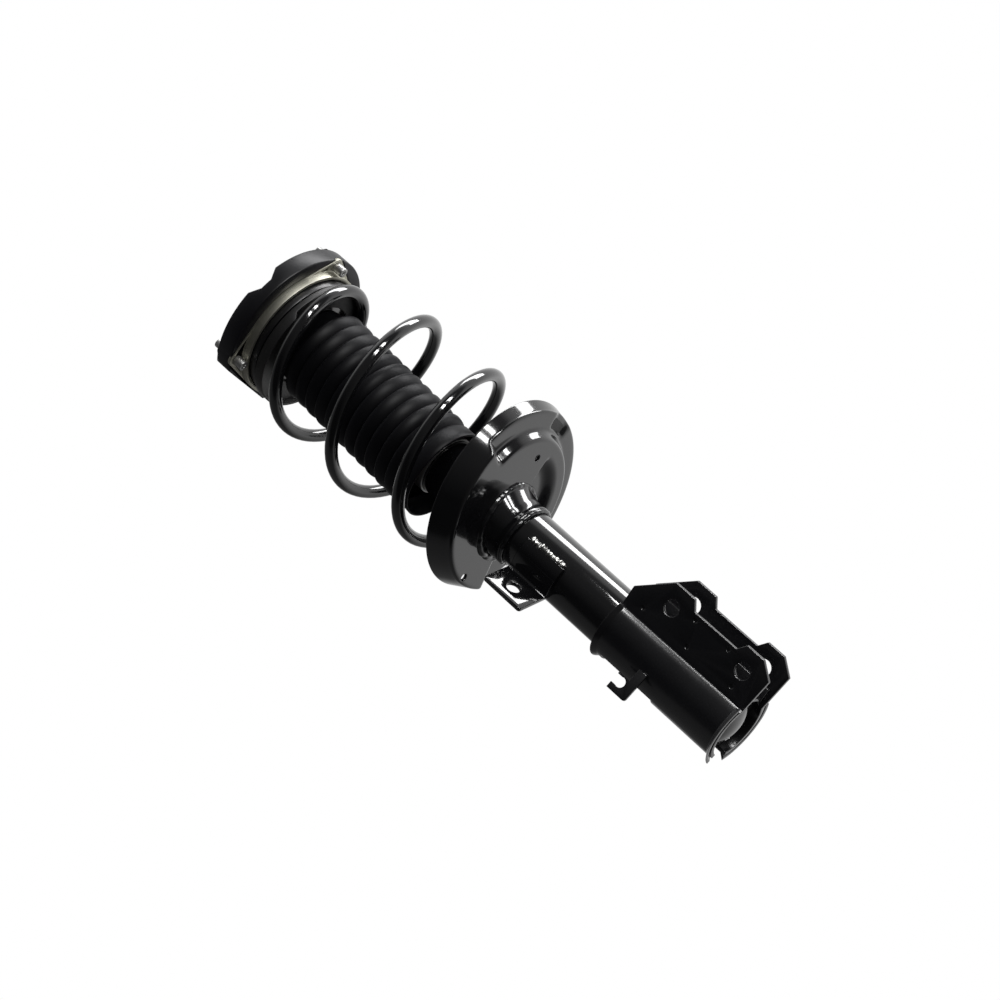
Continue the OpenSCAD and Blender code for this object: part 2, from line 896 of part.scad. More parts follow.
module wrap_section() {
    difference() {
        union() {
            circle(wrap_r);
            translate([0, -ear_out])
                square([ear_x, 2 * ear_out]);
        }
        circle(wrap_in_r);
        translate([0, -ear_in])
            square([ear_x + 1, ear_gap]);
    }
}

// conical lip that turns outward at one end of the wrap, from z_root to z_end
module wrap_lip(z_root, z_end, out) {
    foot = bracket_t - 0.5;
    half_open = 46;
    rotate([0, 0, half_open])
        rotate_extrude(angle = 360 - 2 * half_open)
            polygon([
                [wrap_r - foot, z_root], [wrap_r, z_root], [wrap_r + out, z_end], [wrap_r + out - foot, z_end]
            ]);
}

module knuckle_bracket() {
    window_half = 38;
    slot_half = 21;
    window_low = z_low_bolt + 50;
    window_high = z_br_top - 9;
    r_in = wrap_in_r - 3;
    r_out = wrap_r + low_lip_out + 3;
    reach = ear_out + 10;
    dimple_depth = 0.8;
    x_front = ear_x - 13;
    x_bend = 32;
    dimples = [
        [x_front, z_low_bolt + 20], [x_front, z_up_bolt - 23], [x_bend, z_low_bolt],
        [x_bend, (z_low_bolt + z_up_bolt) / 2 + 10], [x_bend, z_up_bolt + 20]
    ];
    color("#2c2c30")
    difference() {
        union() {
            intersection() {
                translate([0, 0, z_br_low - 5])
                    linear_extrude(z_br_top - z_br_low + 5)
                        wrap_section();
                rotate([90, 0, 0])
                    translate([0, 0, -wrap_r - 5])
                        linear_extrude(2 * wrap_r + 10)
                            ear_side();
            }
            wrap_lip(z_br_top - lip_h, z_br_top, lip_out);
            wrap_lip(z_br_low + lip_h, z_br_low, low_lip_out);
        }
        for (z = [z_low_bolt, z_up_bolt])
            translate([bolt_offset, 0, z])
                rotate([90, 0, 0])
                    translate([0, 0, -reach])
                        cylinder(d = bolt_hole_d, h = 2 * reach);
        for (p = dimples, side = [-1, 1])
            translate([p[0], side * ear_out, p[1]])
                rotate([90, 0, 0])
                    translate([0, 0, -dimple_depth])
                        cylinder(d = dimple_d, h = 2 * dimple_depth, $fn = 24);
        sector(r_in, r_out, window_low, window_high, 180 - window_half, 180 + window_half);
        sector(r_in, r_out, z_br_low - 1, z_br_low + back_slot_h, 180 - slot_half, 180 + slot_half);
    }
}

module bracket_web() {
    t = 3;
    r_in = tube_r + set_fit;
    leg_x = 38;
    low_margin = 3;
    top_margin = 5;
    y_out = ear_in - run_fit / 2;
    x_leg = sqrt(pow(r_in + t, 2) - pow(y_out, 2));
    color("#2c2c30")
    translate([0, 0, z_br_low + low_margin])
        linear_extrude(z_br_top - z_br_low - low_margin - top_margin)
            difference() {
                union() {
                    intersection() {
                        circle(r_in + t);
                        translate([0, -y_out])
                            square([wrap_r, 2 * y_out]);
                    }
                    for (side = [-1, 1])
                        translate([x_leg - 3, side > 0 ? y_out - t : -y_out])
                            square([leg_x - x_leg + 3, t]);
                }
                circle(r_in);
            }
}

// ---- hose hook: a flat hook in a plane square to the lean's side ----

module hose_hook() {
    y_face = -(wrap_r * 0.8);
    root = -sqrt(pow(wrap_r, 2) - pow(y_face, 2)) + 2;
    z0 = z_low_bolt + hook_above_bolt;
    stem = 8.5;
    tip = -45;
    notch = [-35, stem + 5];
    throat = notch_r - 0.4;
    height = 20;
    pad_w = 16;
    round_r = 3;
    color("#505054")
    difference() {
        rotate([0, 0, lean])
            translate([0, y_face, z0])
                rotate([90, 0, 0])
                    linear_extrude(hook_t)
                        difference() {
                            union() {
                                translate([tip, 0])
                                    square([root - tip, stem]);
                                translate([tip, 0])
                                    square([pad_w, height]);
                            }
                            translate(notch)
                                circle(notch_r);
                            translate([notch[0] - throat, notch[1]])
                                square([2 * throat, height]);
                            translate([tip - eps, -eps])
                                difference() {
                                    square(round_r);
                                    translate([round_r, round_r])
                                        circle(round_r, $fn = 48);
                                }
                        }
        translate([0, 0, z0 - 1])
            cylinder(r = wrap_r + run_fit, h = height + 2);
    }
}

// ---- link tab ----

tab_heading = 251;
saddle_from = 234;
saddle_to = 295;
link_z = z_low_bolt + link_above_bolt;
saddle_in = tube_r + set_fit;
saddle_r = saddle_in + link_t;
bend = tab_heading - saddle_from;
tab_y = -(saddle_in + link_t / 2) * sin(bend);
tab_x = saddle_in * cos(bend) + 1;
tab_root = sqrt(pow(saddle_in, 2) - pow(abs(tab_y) - link_t / 2, 2)) + eps;
hole_share = 0.6;

module link_tab() {
    round_r = 3;
    tab_end = tab_x + link_reach;
    color("#6a6a70")
    difference() {
        union() {
            sector(saddle_in, saddle_r, link_z - link_w / 2, link_z + link_w / 2, saddle_from, saddle_to);
            rotate([0, 0, tab_heading])
                translate([0, tab_y - link_t / 2, link_z])
                    rotate([-90, 0, 0])
                        linear_extrude(link_t)
                            difference() {
                                translate([tab_root, -link_w / 2])
                                    square([tab_end - tab_root, link_w]);
                                for (side = [-1, 1])
                                    translate([tab_end - round_r, side * (link_w / 2 - round_r)])
                                        mirror([0, side < 0 ? 1 : 0])
                                            difference() {
                                                square(round_r + 1);
                                                circle(round_r, $fn = 48);
                                            }
                            }
        }
        rotate([0, 0, tab_heading])
            translate([tab_x + link_reach * hole_share, tab_y - link_t, link_z])
                rotate([-90, 0, 0])
                    cylinder(d = link_hole_d, h = 2 * link_t);
    }
}

module link_weld() {
    bead_r = 2.6;
    bead_out = 1.6;
    margin = 2;
    heading = saddle_to + 3;
    z_low = link_z - link_w;
    z_high = link_z + link_w;
    color("silver")
    difference() {
        rotate([0, 0, heading])
            translate([tube_r + bead_out, 0, link_z - link_w / 2 + margin])
                cylinder(r = bead_r, h = link_w - 2 * margin, $fn = 24);
        translate([0, 0, z_low])
            cylinder(r = tube_r + run_fit, h = z_high - z_low);
        sector(saddle_in - 2, saddle_r + 4, z_low, z_high, saddle_to - 20, saddle_to + set_fit);
    }
}

// ---- lower spring seat: its face, wall and raised track, in its own tilted frame ----

// half section of the seat filled up to its rim, drawn in by the sheet's thickness t
module seat_section(t) {
    r_face = seat_face_r - t;
    r_low = seat_round - t;
    low = -seat_drop + t;
    union() {
        translate([0, low])
            square([r_face - r_low, seat_h - low + t]);
        polygon([
            [r_face - r_low, low + r_low], [r_face, low + r_low],
            [seat_r - t, seat_h], [seat_r - t, seat_h + t], [r_face - r_low, seat_h + t]
        ]);
        intersection() {
            translate([r_face - r_low, low + r_low])
                circle(r_low, $fn = 96);
            translate([r_face - r_low - eps, low])
                square([r_low + eps, r_low + eps]);
        }
    }
}

module seat_body(t) {
    grow = asin(t / track_in_r);
    high_grow = asin(t / high_in_r);
    a_from = track_from - grow;
    a_step = track_from + track_angle;
    a_high = a_step - high_grow;
    a_to = a_step + high_angle + high_grow;
    difference() {
        rotate_extrude()
            seat_section(t);
        sector(track_in_r - t, seat_r + 10, -seat_drop - 10, t, a_from, a_step + 2);
        sector(high_in_r - t, seat_r + 11, -seat_drop - 11, high_h + t, a_high, a_to);
    }
}

// everything below height h in the seat's frame
module under_seat(h) {
    size = 4 * seat_r;
    in_seat_frame()
        translate([-size / 2, -size / 2, h - size])
            cube(size);
}

track_from = -53;

// round hole through the seat's face, at a radius and a heading in the seat's frame
module face_hole(at_r, heading, hole_r) {
    translate(concat(polar(at_r, heading), -seat_drop - 1))
        cylinder(r = hole_r, h = seat_t + 2);
}

module lower_spring_seat() {
    color("#303036")
    difference() {
        in_seat_frame()
            difference() {
                seat_body(0);
                intersection() {
                    seat_body(seat_t);
                    translate([0, 0, -seat_drop - 1])
                        cylinder(r = seat_r + 5, h = seat_drop + seat_h + 10);
                }
                translate([0, 0, seat_h])
                    cylinder(r = seat_r + 5, h = 10);
                face_hole(76.5, -154, 3.5);
                face_hole(45, -1, 3.2);
            }
        translate([0, 0, z_seat_low - seat_r])
            cylinder(r = tube_r + set_fit, h = 2 * seat_r);
    }
}

z_collar_low = z_low_bolt + collar_above_bolt;

module seat_collar() {
    r_in = tube_r + set_fit;
    r_out = r_in + collar_wall;
    flare_r = 38;
    flare_h = 7;
    z_face = z_seat_low - seat_drop / cos(seat_tilt);
    color("#303036")
    intersection() {
        rotate_extrude()
            polygon([
                [r_in, z_collar_low], [r_out, z_collar_low], [r_out, z_face - 2 * flare_h],
                [flare_r, z_face - flare_h], [flare_r, z_seat_low + seat_r], [r_in, z_seat_low + seat_r]
            ]);
        under_seat(-seat_drop);
    }
}

module collar_weld() {
    bead_r = 2.2;
    bead_out = 1.2;
    bead_drop = 0.9;
    cut_h = 20;
    color("dimgray")
    difference() {
        rotate_extrude()
            translate([tube_r + set_fit + bead_out, z_collar_low - bead_drop])
                circle(bead_r, $fn = 24);
        translate([0, 0, z_collar_low - cut_h / 2])
            cylinder(r = tube_r + run_fit, h = cut_h);
        translate([0, 0, z_collar_low])
            cylinder(r = tube_r + cut_h, h = cut_h);
    }
}

module lower_isolator() {
    margin = 1.5;
    rim_gap = 1;
    color("black")
    in_seat_frame()
        sector(track_in_r, seat_face_r - rim_gap, seat_t, seat_t + lower_pad_t,
            track_from + margin, track_from + margin + pad_angle);
}

mount_plate();
mount_cover();
mount_studs();
mount_rubber();
mount_core();
rod_washer();
rod_nut();
bearing_housing();
piston_rod();
rebound_stop();
valve_discs();
piston();
piston_band();
piston_nut();
bearing_balls();
bearing_cage();
bearing_race();
upper_spring_seat();
upper_isolator();
bump_stop();
dust_boot();
coil_spring();
reserve_tube();
tube_dome();
tube_cap();
rod_guide();
rod_bushing();
rod_seal();
pressure_tube();
base_valve();
knuckle_bracket();
bracket_web();
hose_hook();
link_tab();
link_weld();
lower_spring_seat();
seat_collar();
collar_weld();
lower_isolator();
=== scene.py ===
"""Looks of a front suspension strut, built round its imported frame.

Lengths are in millimetres in the strut's own frame until a mesh is finished, and in metres after
that. Angles are in degrees. Headings run from +X towards +Y.
"""

import logging
import math
from dataclasses import dataclass, field
from enum import Enum
from typing import Callable, ClassVar, Iterable, Sequence

import bmesh
import bpy
from mathutils import Matrix, Vector, noise


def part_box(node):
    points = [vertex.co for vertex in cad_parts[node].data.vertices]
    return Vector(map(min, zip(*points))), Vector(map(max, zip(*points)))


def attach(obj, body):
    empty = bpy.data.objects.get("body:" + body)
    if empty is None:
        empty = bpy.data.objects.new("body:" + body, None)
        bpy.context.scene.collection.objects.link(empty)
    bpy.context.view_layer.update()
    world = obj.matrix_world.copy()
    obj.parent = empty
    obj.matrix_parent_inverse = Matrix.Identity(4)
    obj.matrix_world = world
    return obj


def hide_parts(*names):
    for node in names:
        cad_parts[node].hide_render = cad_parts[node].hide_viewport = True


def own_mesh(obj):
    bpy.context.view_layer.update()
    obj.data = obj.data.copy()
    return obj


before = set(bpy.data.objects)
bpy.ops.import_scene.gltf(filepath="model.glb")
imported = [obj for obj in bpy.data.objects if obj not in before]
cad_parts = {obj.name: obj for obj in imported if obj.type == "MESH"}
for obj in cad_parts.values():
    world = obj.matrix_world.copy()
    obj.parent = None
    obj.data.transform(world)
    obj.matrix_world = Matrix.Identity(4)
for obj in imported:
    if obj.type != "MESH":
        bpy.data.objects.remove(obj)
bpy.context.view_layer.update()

LOG = logging.getLogger("strut")
MM = 0.001

# Heading in which the spring and its lower seat stand off the strut's axis.
LEAN = 21.0

Point = tuple[float, float]
Colour = tuple[float, float, float]
Mesh = bmesh.types.BMesh
Vert = bmesh.types.BMVert
Edge = bmesh.types.BMEdge
Node = bpy.types.Node
Socket = bpy.types.NodeSocket
Finishes = dict[str, bpy.types.Material]


class Body(Enum):
    """The bodies that pieces ride on."""

    TOP = "top_mount"
    UPPER = "upper_seat"
    STRUT = "strut_body"


# ---------------- outlines


def polar(radius: float, heading: float) -> Vector:
    """Point at a radius and a heading, on the plane z = 0."""
    turn = math.radians(heading)
    return Vector((radius * math.cos(turn), radius * math.sin(turn), 0.0))


def ease(x: float) -> float:
    """Smooth step from 0 to 1."""
    t = min(1.0, max(0.0, x))
    return t * t * (3 - 2 * t)


def ramp(x: float, start: float, end: float) -> float:
    """Smooth step of x from 0 at start to 1 at end, whichever is the larger."""
    return ease((x - start) / (end - start))


def within_arc(turn: float, first: float, last: float, soft: float) -> float:
    """How far a heading is inside an arc whose ends run out softly, from 0 to 1."""
    away = abs((turn - (first + last) / 2 + 180) % 360 - 180)
    half = (last - first) / 2
    return 1 - ramp(away, half - soft, half + soft)


def arc(centre: Point, radius: float, start: float, end: float, steps: int) -> list[Point]:
    """Points along an arc, both ends included.

    Args:
        centre: Centre of the arc.
        radius: Radius of the arc.
        start: Angle of the first point.
        end: Angle of the last point.
        steps: Number of chords.

    Returns:
        The points in order.
    """
    turns = [math.radians(start + (end - start) * i / steps) for i in range(steps + 1)]
    return [(centre[0] + radius * math.cos(t), centre[1] + radius * math.sin(t)) for t in turns]


def rounded(outline: Sequence[Point], radius: float, steps: int = 3) -> list[Point]:
    """Closed outline with each of its corners rounded.

    Args:
        outline: Corners in order.
        radius: Radius of the rounds, cut down where a side is too short for it.
        steps: Chords in each round.

    Returns:
        The rounded outline.
    """
    longest_share = 0.45
    straight = math.radians(4)
    made: list[Point] = []
    for i, corner in enumerate(outline):
        here = Vector(corner)
        back = Vector(outline[i - 1]) - here
        ahead = Vector(outline[(i + 1) % len(outline)]) - here
        turn = math.pi - back.angle(ahead)
        if turn < straight:
            made.append(corner)
            continue
        set_back = min(min(back.length, ahead.length) * longest_share, radius * math.tan(turn / 2))
        first = here + back.normalized() * set_back
        last = here + ahead.normalized() * set_back
        for k in range(steps + 1):
            t = k / steps
            point = first * (1 - t) ** 2 + here * (2 * t * (1 - t)) + last * t**2
            made.append((point.x, point.y))
    return made


# ---------------- meshes


def only(geometry: Iterable[object], kind: type) -> list:
    """Elements of one kind among some geometry."""
    return [element for element in geometry if isinstance(element, kind)]


def drawn(bm: Mesh, points: Iterable[Sequence[float]], closed: bool = True) -> tuple[list[Vert], list[Edge]]:
    """Draw points joined by edges, back to the first where it is closed, and return both."""
    verts = [bm.verts.new(point) for point in points]
    edges = [bm.edges.new((verts[i - 1], verts[i])) for i in range(0 if closed else 1, len(verts))]
    return verts, edges


def spun(outline: Sequence[Point], steps: int = 96, closed: bool = True) -> Mesh:
    """Shape of revolution round the z axis.

    Args:
        outline: Points of (radius, height), all off the axis.
        steps: Steps in the full turn.
        closed: True for a closed outline, which makes a solid, and False for an open sheet.

    Returns:
        A new mesh.
    """
    bm = bmesh.new()
    verts, edges = drawn(bm, [(r, 0.0, z) for r, z in outline], closed)
    bmesh.ops.spin(
        bm, geom=verts + edges, axis=(0, 0, 1), cent=(0, 0, 0), angle=math.tau, steps=steps, use_merge=True
    )
    bmesh.ops.remove_doubles(bm, verts=bm.verts, dist=1e-4)
    bmesh.ops.recalc_face_normals(bm, faces=bm.faces)
    return bm


def swept(stations: Sequence[Matrix], section: Sequence[Point]) -> Mesh:
    """Closed tube along a row of stations.

    Args:
        stations: Placements of the section, whose plane is the station's local XY.
        section: Closed outline of the tube.

    Returns:
        A new mesh with both ends closed.
    """
    bm = bmesh.new()
    _, ring = drawn(bm, [stations[0] @ Vector((x, y, 0.0)) for x, y in section])
    bmesh.ops.contextual_create(bm, geom=ring)
    for before, after in zip(stations, stations[1:]):
        grown = bmesh.ops.extrude_edge_only(bm, edges=ring)["geom"]
        bmesh.ops.transform(bm, matrix=after @ before.inverted(), verts=only(grown, Vert))
        ring = [edge for edge in only(grown, Edge) if not edge.link_faces[1:]]
    bmesh.ops.contextual_create(bm, geom=ring)
    bmesh.ops.recalc_face_normals(bm, faces=bm.faces)
    return bm


def placed(x: Vector, y: Vector, z: Vector, origin: Vector) -> Matrix:
    """Placement from its three axes and its origin."""
    return Matrix.Translation(origin) @ Matrix((x, y, z)).transposed().to_4x4()


def station(point: Vector, along: Vector, out: Vector) -> Matrix:
    """Placement at a point whose local Z runs along and whose local X leans towards out."""
    z = along.normalized()
    y = z.cross(out).normalized()
    return placed(y.cross(z), y, z, point)


def cad_copy(node: str) -> Mesh:
    """Merged copy of a CAD node's mesh, in millimetres, with its flat faces whole."""
    bm = bmesh.new()
    bm.from_mesh(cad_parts[node].data)
    bmesh.ops.scale(bm, vec=(1 / MM,) * 3, verts=bm.verts)
    bmesh.ops.remove_doubles(bm, verts=bm.verts, dist=2e-3)
    bmesh.ops.dissolve_limit(
        bm, angle_limit=math.radians(0.5), use_dissolve_boundaries=False, verts=bm.verts, edges=bm.edges
    )
    return bm


def bevel(bm: Mesh, edges: list[Edge], width: float, segments: int, clamp: bool = False) -> None:
    """Bevel some edges, which stop short of each other where clamp is true."""
    bmesh.ops.bevel(
        bm, geom=edges, offset=width, offset_type="OFFSET", segments=segments, profile=0.5,
        affect="EDGES", clamp_overlap=clamp, material=-1,
    )


def soften(bm: Mesh, width: float, segments: int = 2, sharper_than: float = 32.0) -> None:
    """Bevel every edge of a mesh that is sharper than an angle.

    Args:
        bm: Mesh to change.
        width: Width of the bevel.
        segments: Segments across it.
        sharper_than: Least angle between the faces.
    """
    limit = math.radians(sharper_than)
    sharp = [e for e in bm.edges if len(e.link_faces) == 2 and e.calc_face_angle(0.0) > limit]
    bevel(bm, sharp, width, segments)
    bmesh.ops.remove_doubles(bm, verts=bm.verts, dist=1e-3)


def stand(name: str, data: bpy.types.ID) -> bpy.types.Object:
    """Put an object with some data into the scene."""
    made = bpy.data.objects.new(name, data)
    bpy.context.scene.collection.objects.link(made)
    return made


def finished(bm: Mesh, name: str) -> bpy.types.Object:
    """Turn a mesh, which is used up, into an object of the scene."""
    mesh = bpy.data.meshes.new(name)
    bm.to_mesh(mesh)
    bm.free()
    return stand(name, mesh)


def bored(bm: Mesh, matrix: Matrix, radius: float, depth: float, sides: int = 48) -> Mesh:
    """Cut a round hole out of a closed mesh.

    Args:
        bm: Mesh to cut, which is used up.
        matrix: Placement of the hole's middle, which lies along its Z.
        radius: Radius of the hole.
        depth: Depth of the hole.
        sides: Sides of the hole.

    Returns:
        The cut mesh.
    """
    tool = bmesh.new()
    bmesh.ops.create_cone(
        tool, cap_ends=True, segments=sides, radius1=radius, radius2=radius, depth=depth, matrix=matrix
    )
    body, cutter = finished(bm, "cut_body"), finished(tool, "cut_tool")
    modifier = body.modifiers.new("cut", "BOOLEAN")
    modifier.operation = "DIFFERENCE"
    modifier.solver = "EXACT"
    modifier.object = cutter
    made = bmesh.new()
    made.from_mesh(body.evaluated_get(bpy.context.evaluated_depsgraph_get()).to_mesh())
    for thing in (body, cutter):
        mesh = thing.data
        bpy.data.objects.remove(thing)
        bpy.data.meshes.remove(mesh)
    return made


def pierce(bm: Mesh, matrix: Matrix, radius: float, depth: float) -> None:
    """Open a round hole in an open sheet and draw its edge out to a true round.

    Args:
        bm: Sheet to change.
        matrix: Placement of the hole, which lies along its Z.
        radius: Radius of the hole.
        depth: How far along Z from the placement the sheet is looked for.
    """
    inward = matrix.inverted()

    def within(point: Vector) -> bool:
        """Tell whether a point is inside the hole."""
        local = inward @ point
        return math.hypot(local.x, local.y) < radius and abs(local.z) < depth

    gone = [f for f in bm.faces if within(f.calc_center_median())]
    edge = {v for f in gone for v in f.verts}
    bmesh.ops.delete(bm, geom=gone, context="FACES")
    for v in edge:
        if v.is_valid and v.is_boundary:
            local = inward @ v.co
            grow = radius / math.hypot(local.x, local.y)
            v.co = matrix @ Vector((local.x * grow, local.y * grow, local.z))


# ---------------- shader nodes


class Nodes:
    """Builder of shader nodes in a tree."""

    def __init__(self, tree: bpy.types.NodeTree) -> None:
        """Build in a tree."""
        self.tree = tree

    def feed(self, node: Node, inputs: dict[str | int, object]) -> Node:
        """Give inputs of a node, by name or number, a value or a socket to read, and return the node."""
        for label, value in inputs.items():
            if isinstance(value, Socket):
                self.tree.links.new(value, node.inputs[label])
            else:
                node.inputs[label].default_value = value
        return node

    def add(self, kind: str, inputs: dict[str | int, object] | None = None, **attributes: object) -> Node:
        """Add a node.

        Args:
            kind: Type of the node, without the ShaderNode that all have in front.
            inputs: What to feed its inputs.
            attributes: Its own attributes, which are set first.

        Returns:
            The node.
        """
        made = self.tree.nodes.new(f"ShaderNode{kind}")
        for label, value in attributes.items():
            setattr(made, label, value)
        return self.feed(made, inputs or {})

    def maths(self, operation: str, first: object, second: object) -> Socket:
        """Result of a Math node on two sockets or numbers."""
        return self.add("Math", {0: first, 1: second}, operation=operation).outputs[0]

    def mix(self, factor: Socket, first: object, second: object) -> Socket:
        """Mix of two colours, each a socket or a value."""
        inputs = {"Factor": factor, "A": first, "B": second}
        return self.add("Mix", inputs, data_type="RGBA").outputs["Result"]


class Group(Nodes):
    """Builder of a shader node group with named sockets."""

    def __init__(self, name: str, inputs: dict[str, float], outputs: Sequence[str]) -> None:
        """Start a group.

        Args:
            name: Name of the group.
            inputs: Name and default of each input.
            outputs: Name of each output.
        """
        super().__init__(bpy.data.node_groups.new(name, "ShaderNodeTree"))
        face = self.tree.interface
        for label, default in inputs.items():
            socket = face.new_socket(name=label, in_out="INPUT", socket_type="NodeSocketFloat")
            socket.default_value = default
        for label in outputs:
            face.new_socket(name=label, in_out="OUTPUT", socket_type="NodeSocketFloat")
        self.given = self.tree.nodes.new("NodeGroupInput").outputs
        self.outward = self.tree.nodes.new("NodeGroupOutput")
        self.place = self.add("TexCoord").outputs["Object"]

    def speckle(self, size: str, detail: float = 2.0) -> Socket:
        """Noise over the piece's own coordinates, at the scale that an input gives."""
        inputs = {"Vector": self.place, "Scale": self.given[size], "Detail": detail}
        return self.add("TexNoise", inputs).outputs["Fac"]

    def ending(self, outputs: dict[str | int, object]) -> bpy.types.NodeTree:
        """Feed the group's outputs and return its tree."""
        self.feed(self.outward, outputs)
        return self.tree


def uneven_gloss_group() -> bpy.types.NodeTree:
    """Roughness that drifts in soft patches."""
    group = Group("uneven_gloss", {"Roughness": 0.3, "Spread": 0.1, "Size": 40.0}, ("Roughness", "Patches"))
    patches = group.speckle("Size", 4.0)
    drift = group.maths("MULTIPLY", group.maths("SUBTRACT", patches, 0.5), group.given["Spread"])
    total = group.maths("ADD", group.maths("MULTIPLY", drift, 2.0), group.given["Roughness"])
    return group.ending({"Roughness": total, "Patches": patches})


def fine_relief_group() -> bpy.types.NodeTree:
    """Height of a skin: broad orange peel with a finer grain on it."""
    inputs = {"Peel Size": 300.0, "Grain Size": 1500.0, "Grain Share": 0.3}
    group = Group("fine_relief", inputs, ("Height",))
    grain = group.maths("MULTIPLY", group.speckle("Grain Size"), group.given["Grain Share"])
    return group.ending({"Height": group.maths("ADD", group.speckle("Peel Size"), grain)})


def edge_rub_group() -> bpy.types.NodeTree:
    """Mask of rubbed edges, broken up by noise."""
    group = Group("edge_rub", {"Start": 0.53, "Amount": 0.5, "Size": 180.0}, ("Mask",))
    steepness = 12.0
    past = group.maths("SUBTRACT", group.add("NewGeometry").outputs["Pointiness"], group.given["Start"])
    broken = group.maths("MULTIPLY", group.maths("MULTIPLY", past, steepness), group.speckle("Size", 5.0))
    amount = group.maths("MULTIPLY", broken, group.given["Amount"])
    return group.ending({"Mask": group.add("Clamp", {"Value": amount}).outputs["Result"]})


def dust_group() -> bpy.types.NodeTree:
    """Mask of a thin film of dust in specks and soft clouds."""
    group = Group("dust_film", {"Amount": 0.1, "Cloud Size": 25.0, "Speck Size": 700.0}, ("Mask",))
    strength = 3.0
    mixed = group.maths("MULTIPLY", group.speckle("Cloud Size"), group.speckle("Speck Size"))
    amount = group.maths("MULTIPLY", mixed, group.given["Amount"])
    return group.ending({"Mask": group.maths("MULTIPLY", amount, strength)})


def turned_group() -> bpy.types.NodeTree:
    """Height of fine rings round the strut's axis, as a lathe leaves them."""
    group = Group("turned_rings", {"Pitch": 900.0, "Wobble": 0.4}, ("Height",))
    inputs = {
        "Vector": group.place, "Scale": group.given["Pitch"],
        "Distortion": group.given["Wobble"], "Detail": 3.0,
    }
    wave = group.add("TexWave", inputs, wave_type="BANDS", bands_direction="Z")
    return group.ending({"Height": wave.outputs["Fac"]})


class Effects:
    """The shared node groups, each built once."""

    def __init__(self) -> None:
        """Build the groups."""
        self.gloss = uneven_gloss_group()
        self.relief = fine_relief_group()
        self.rub = edge_rub_group()
        self.dust = dust_group()
        self.turned = turned_group()


# ---------------- finishes


def new_material(name: str) -> tuple[bpy.types.Material, Nodes, Node]:
    """New material, the builder in its tree and its Principled shader."""
    material = bpy.data.materials.new(name)
    material.use_nodes = True
    shader = next(n for n in material.node_tree.nodes if n.type == "BSDF_PRINCIPLED")
    return material, Nodes(material.node_tree), shader


@dataclass(frozen=True)
class Finish:
    """A surface finish.

    Attributes:
        name: Name of its material.
        colour: Base colour.
        roughness: Mean roughness.
        spread: How far the roughness drifts.
        metallic: 1 for bare metal, 0 for paint and rubber, and between them for dull plating.
        coat: Weight of a clear gloss coat.
        rub: Amount of rubbing along edges.
        dust: Amount of dust.
        bump: Height of the relief.
        peel: Scale of the relief's broad lumps.
        grain: Scale of its fine grain.
        turned: True for a turned piece with fine rings.
        specular: Strength of the plain reflection.
    """

    WORN: ClassVar[Colour] = (0.3, 0.3, 0.3)
    DUST: ClassVar[Colour] = (0.45, 0.43, 0.4)
    DRIFT: ClassVar[float] = 0.15
    PATCH_SCALE: ClassVar[float] = 35.0
    COAT_ROUGHNESS: ClassVar[float] = 0.04

    name: str
    colour: Colour
    roughness: float
    spread: float = 0.05
    metallic: float = 0.0
    coat: float = 0.0
    rub: float = 0.0
    dust: float = 0.0
    bump: float = 0.02
    peel: float = 300.0
    grain: float = 1500.0
    turned: bool = False
    specular: float = 0.5

    def shade(self, strength: float) -> tuple[float, ...]:
        """The base colour made darker or lighter."""
        return (*(min(1.0, c * strength) for c in self.colour), 1.0)

    def build(self, effects: Effects) -> bpy.types.Material:
        """Make the finish's material.

        Args:
            effects: The shared node groups.

        Returns:
            The material.
        """
        material, nodes, shader = new_material(self.name)
        values = {"Roughness": self.roughness, "Spread": self.spread, "Size": self.PATCH_SCALE}
        gloss = nodes.add("Group", values, node_tree=effects.gloss)
        colour = nodes.mix(gloss.outputs["Patches"], self.shade(1 - self.DRIFT), self.shade(1 + self.DRIFT))
        for amount, mask, over in ((self.rub, effects.rub, self.WORN), (self.dust, effects.dust, self.DUST)):
            if amount > 0:
                layer = nodes.add("Group", {"Amount": amount}, node_tree=mask)
                colour = nodes.mix(layer.outputs["Mask"], colour, (*over, 1.0))
        if self.turned:
            relief = nodes.add("Group", node_tree=effects.turned)
        else:
            sizes = {"Peel Size": self.peel, "Grain Size": self.grain}
            relief = nodes.add("Group", sizes, node_tree=effects.relief)
        height = {"Strength": 1.0, "Distance": self.bump * MM, "Height": relief.outputs["Height"]}
        nodes.feed(shader, {
            "Base Color": colour,
            "Roughness": gloss.outputs["Roughness"],
            "Metallic": self.metallic,
            "Coat Weight": self.coat,
            "Coat Roughness": self.COAT_ROUGHNESS,
            "Specular IOR Level": self.specular,
            "Normal": nodes.add("Bump", height).outputs["Normal"],
        })
        return material


